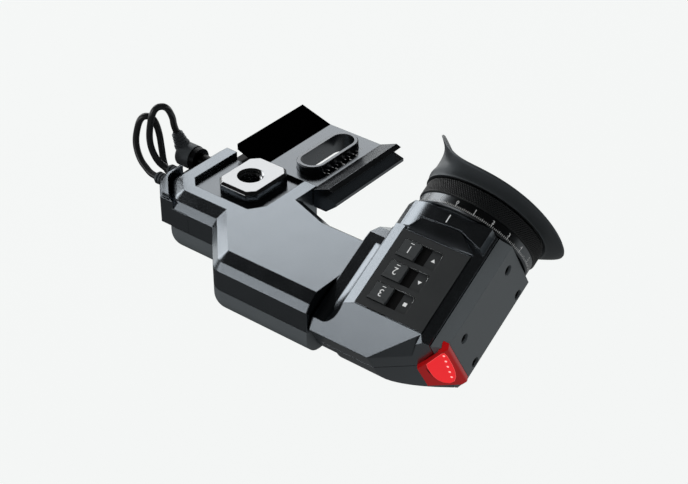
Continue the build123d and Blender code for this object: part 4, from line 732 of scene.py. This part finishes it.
# The outline of a painted shadow line between the lens's left wedge and the window's lower left.
TALLY_SHADOW_LINE = [(17.5, 5.4), (17.5, 3.0), (18.2, -1.6), (18.1, 3.0)]
LAMP_COUNT = 5
LAMP_START = (24.9, -2.2)
LAMP_RUN = (1.7, 17.0)
LAMP_HALF_WIDE, LAMP_HALF_HIGH = 0.42, 0.62


def on_corner(shape, lift):
    """Lays a flat shape, drawn in run and height, on the front right corner's lens."""
    points, faces = shape
    run, height = points[:, 0], points[:, 1]
    out = points[:, 2] + LENS_OUT + lift
    x = CORNER_X + run * math.cos(CORNER_ANGLE) + out * math.sin(CORNER_ANGLE)
    along = CORNER_ALONG + run * math.sin(CORNER_ANGLE) - out * math.cos(CORNER_ANGLE)
    return in_housing(x, along, height), faces


def tally_window():
    """A shield-shaped window that ends in a curve below, with round lamps down its right side."""
    rim = ribbon([*TALLY_WINDOW, TALLY_WINDOW[0]], 0.30)
    piece("tally_rim", *on_corner(rim, PRINT_LIFT), "rim_red", "eyepiece")
    window = plate(TALLY_WINDOW, WINDOW_THICK)
    piece("tally_window", *on_corner(window, PRINT_LIFT), "lit_red", "eyepiece")
    # Painted shadow: a black sheet along the window's lower left.
    piece("tally_painted_shadow", *on_corner(plate(TALLY_SHADOW_LINE, 0.06), PRINT_LIFT), "deep_black", "eyepiece")
    disc = [(LAMP_HALF_WIDE * math.cos(a), LAMP_HALF_HIGH * math.sin(a)) for a in around(14)]
    lamps = []
    for share in np.linspace(0, 1, LAMP_COUNT):
        across = LAMP_START[0] + LAMP_RUN[0] * share
        high = LAMP_START[1] + LAMP_RUN[1] * share
        lamps.append(shifted(plate(disc, 0.06), across, high))
    piece("tally_lamps", *on_corner(joined(lamps), WINDOW_THICK + PRINT_LIFT), "led_glow", "eyepiece")


tally_window()


# Light: soft lights on the left, and a room that is dim in reflections

LOOK_AT = Vector((0.045, -0.02, -0.01))
LIGHT_DISTANCE = 1.2


def soft_light(name, direction, width, height, radiance):
    """A flat soft light of this radiance that faces the object."""
    data = bpy.data.lights.new(name, "AREA")
    data.shape = "RECTANGLE"
    data.size = width
    data.size_y = height
    data.energy = radiance * math.pi * width * height
    thing = bpy.data.objects.new(name, data)
    bpy.context.scene.collection.objects.link(thing)
    way = Vector(direction).normalized()
    thing.location = LOOK_AT + way * LIGHT_DISTANCE
    thing.rotation_mode = "QUATERNION"
    thing.rotation_quaternion = way.to_track_quat("Z", "Y")


soft_light("light_back_left", (-0.63, 0.62, 0.40), 0.70, 0.66, 1.7)
soft_light("light_left", (-0.90, 0.10, 0.38), 0.66, 0.80, 2.2)
soft_light("light_front_left", (-0.53, -0.84, 0.08), 0.84, 0.60, 1.25)

PALE = (0.874, 0.889, 0.882, 1.0)
ROOM_IN_REFLECTIONS = 0.012
ROOM_LIGHTING = 0.70
FLOOR_LIGHTING = 0.30


def seen_strength(nodes, links, in_reflections, elsewhere):
    """1 for the camera's rays, straight or through glass; other levels in reflections and for lighting."""
    path = nodes.new("ShaderNodeLightPath")
    other = nodes.new("ShaderNodeMapRange")
    other.inputs["To Min"].default_value = elsewhere
    links.new(path.outputs["Is Glossy Ray"], other.inputs["Value"])
    if isinstance(in_reflections, float):
        other.inputs["To Max"].default_value = in_reflections
    else:
        links.new(in_reflections, other.inputs["To Max"])
    straight = combined(
        nodes, links, "MAXIMUM", path.outputs["Is Camera Ray"], path.outputs["Is Transmission Ray"]
    )
    return combined(nodes, links, "MAXIMUM", straight, other.outputs["Result"])


def make_room():
    """A pale world, dim in reflections."""
    world = bpy.data.worlds.new("room")
    bpy.context.scene.world = world
    world.use_nodes = True
    nodes = world.node_tree.nodes
    links = world.node_tree.links
    backdrop = nodes["Background"]
    backdrop.inputs["Color"].default_value = PALE
    strength = seen_strength(nodes, links, ROOM_IN_REFLECTIONS, ROOM_LIGHTING)
    links.new(strength, backdrop.inputs["Strength"])


make_room()

FLOOR_Z = -0.16
FLOOR_REACH = 6.0
TOWARDS_BACK = (0.6, 0.8, 0.0)
TOWARDS_LEFT = (-0.72, 0.69, 0.0)


def distance_towards(nodes, links, direction):
    """How far a point of the floor lies in this direction, in metres."""
    place = nodes.new("ShaderNodeTexCoord")
    product = nodes.new("ShaderNodeVectorMath")
    product.operation = "DOT_PRODUCT"
    product.inputs[1].default_value = direction
    links.new(place.outputs["Object"], product.inputs[0])
    return product.outputs["Value"]


def floor_finish():
    """A pale floor that takes a shadow; in reflections it is brighter towards the back and the left."""
    material = bpy.data.materials.new("pale_floor")
    material.use_nodes = True
    nodes = material.node_tree.nodes
    links = material.node_tree.links
    nodes.remove(nodes["Principled BSDF"])
    matt = nodes.new("ShaderNodeBsdfDiffuse")
    matt.inputs["Color"].default_value = (0.04, 0.04, 0.04, 1)
    glow = nodes.new("ShaderNodeEmission")
    glow.inputs["Color"].default_value = PALE
    back = ramp(nodes, links, distance_towards(nodes, links, TOWARDS_BACK), -0.05, 0.30, 0.02, 0.30)
    left = ramp(nodes, links, distance_towards(nodes, links, TOWARDS_LEFT), 0.25, 0.50, 0.0, 1.3)
    brighter = combined(nodes, links, "MAXIMUM", back, left)
    links.new(seen_strength(nodes, links, brighter, FLOOR_LIGHTING), glow.inputs["Strength"])
    both = nodes.new("ShaderNodeAddShader")
    links.new(matt.outputs[0], both.inputs[0])
    links.new(glow.outputs[0], both.inputs[1])
    links.new(both.outputs[0], nodes["Material Output"].inputs["Surface"])
    return material


def make_floor():
    """One wide flat face under the object."""
    corners = [(x * FLOOR_REACH, y * FLOOR_REACH, FLOOR_Z) for x, y in ((-1, -1), (1, -1), (1, 1), (-1, 1))]
    mesh = bpy.data.meshes.new("floor")
    mesh.from_pydata(corners, [], [(0, 1, 2, 3)])
    mesh.materials.append(floor_finish())
    floor = bpy.data.objects.new("floor", mesh)
    bpy.context.scene.collection.objects.link(floor)


make_floor()

bpy.context.scene.view_settings.view_transform = "Standard"
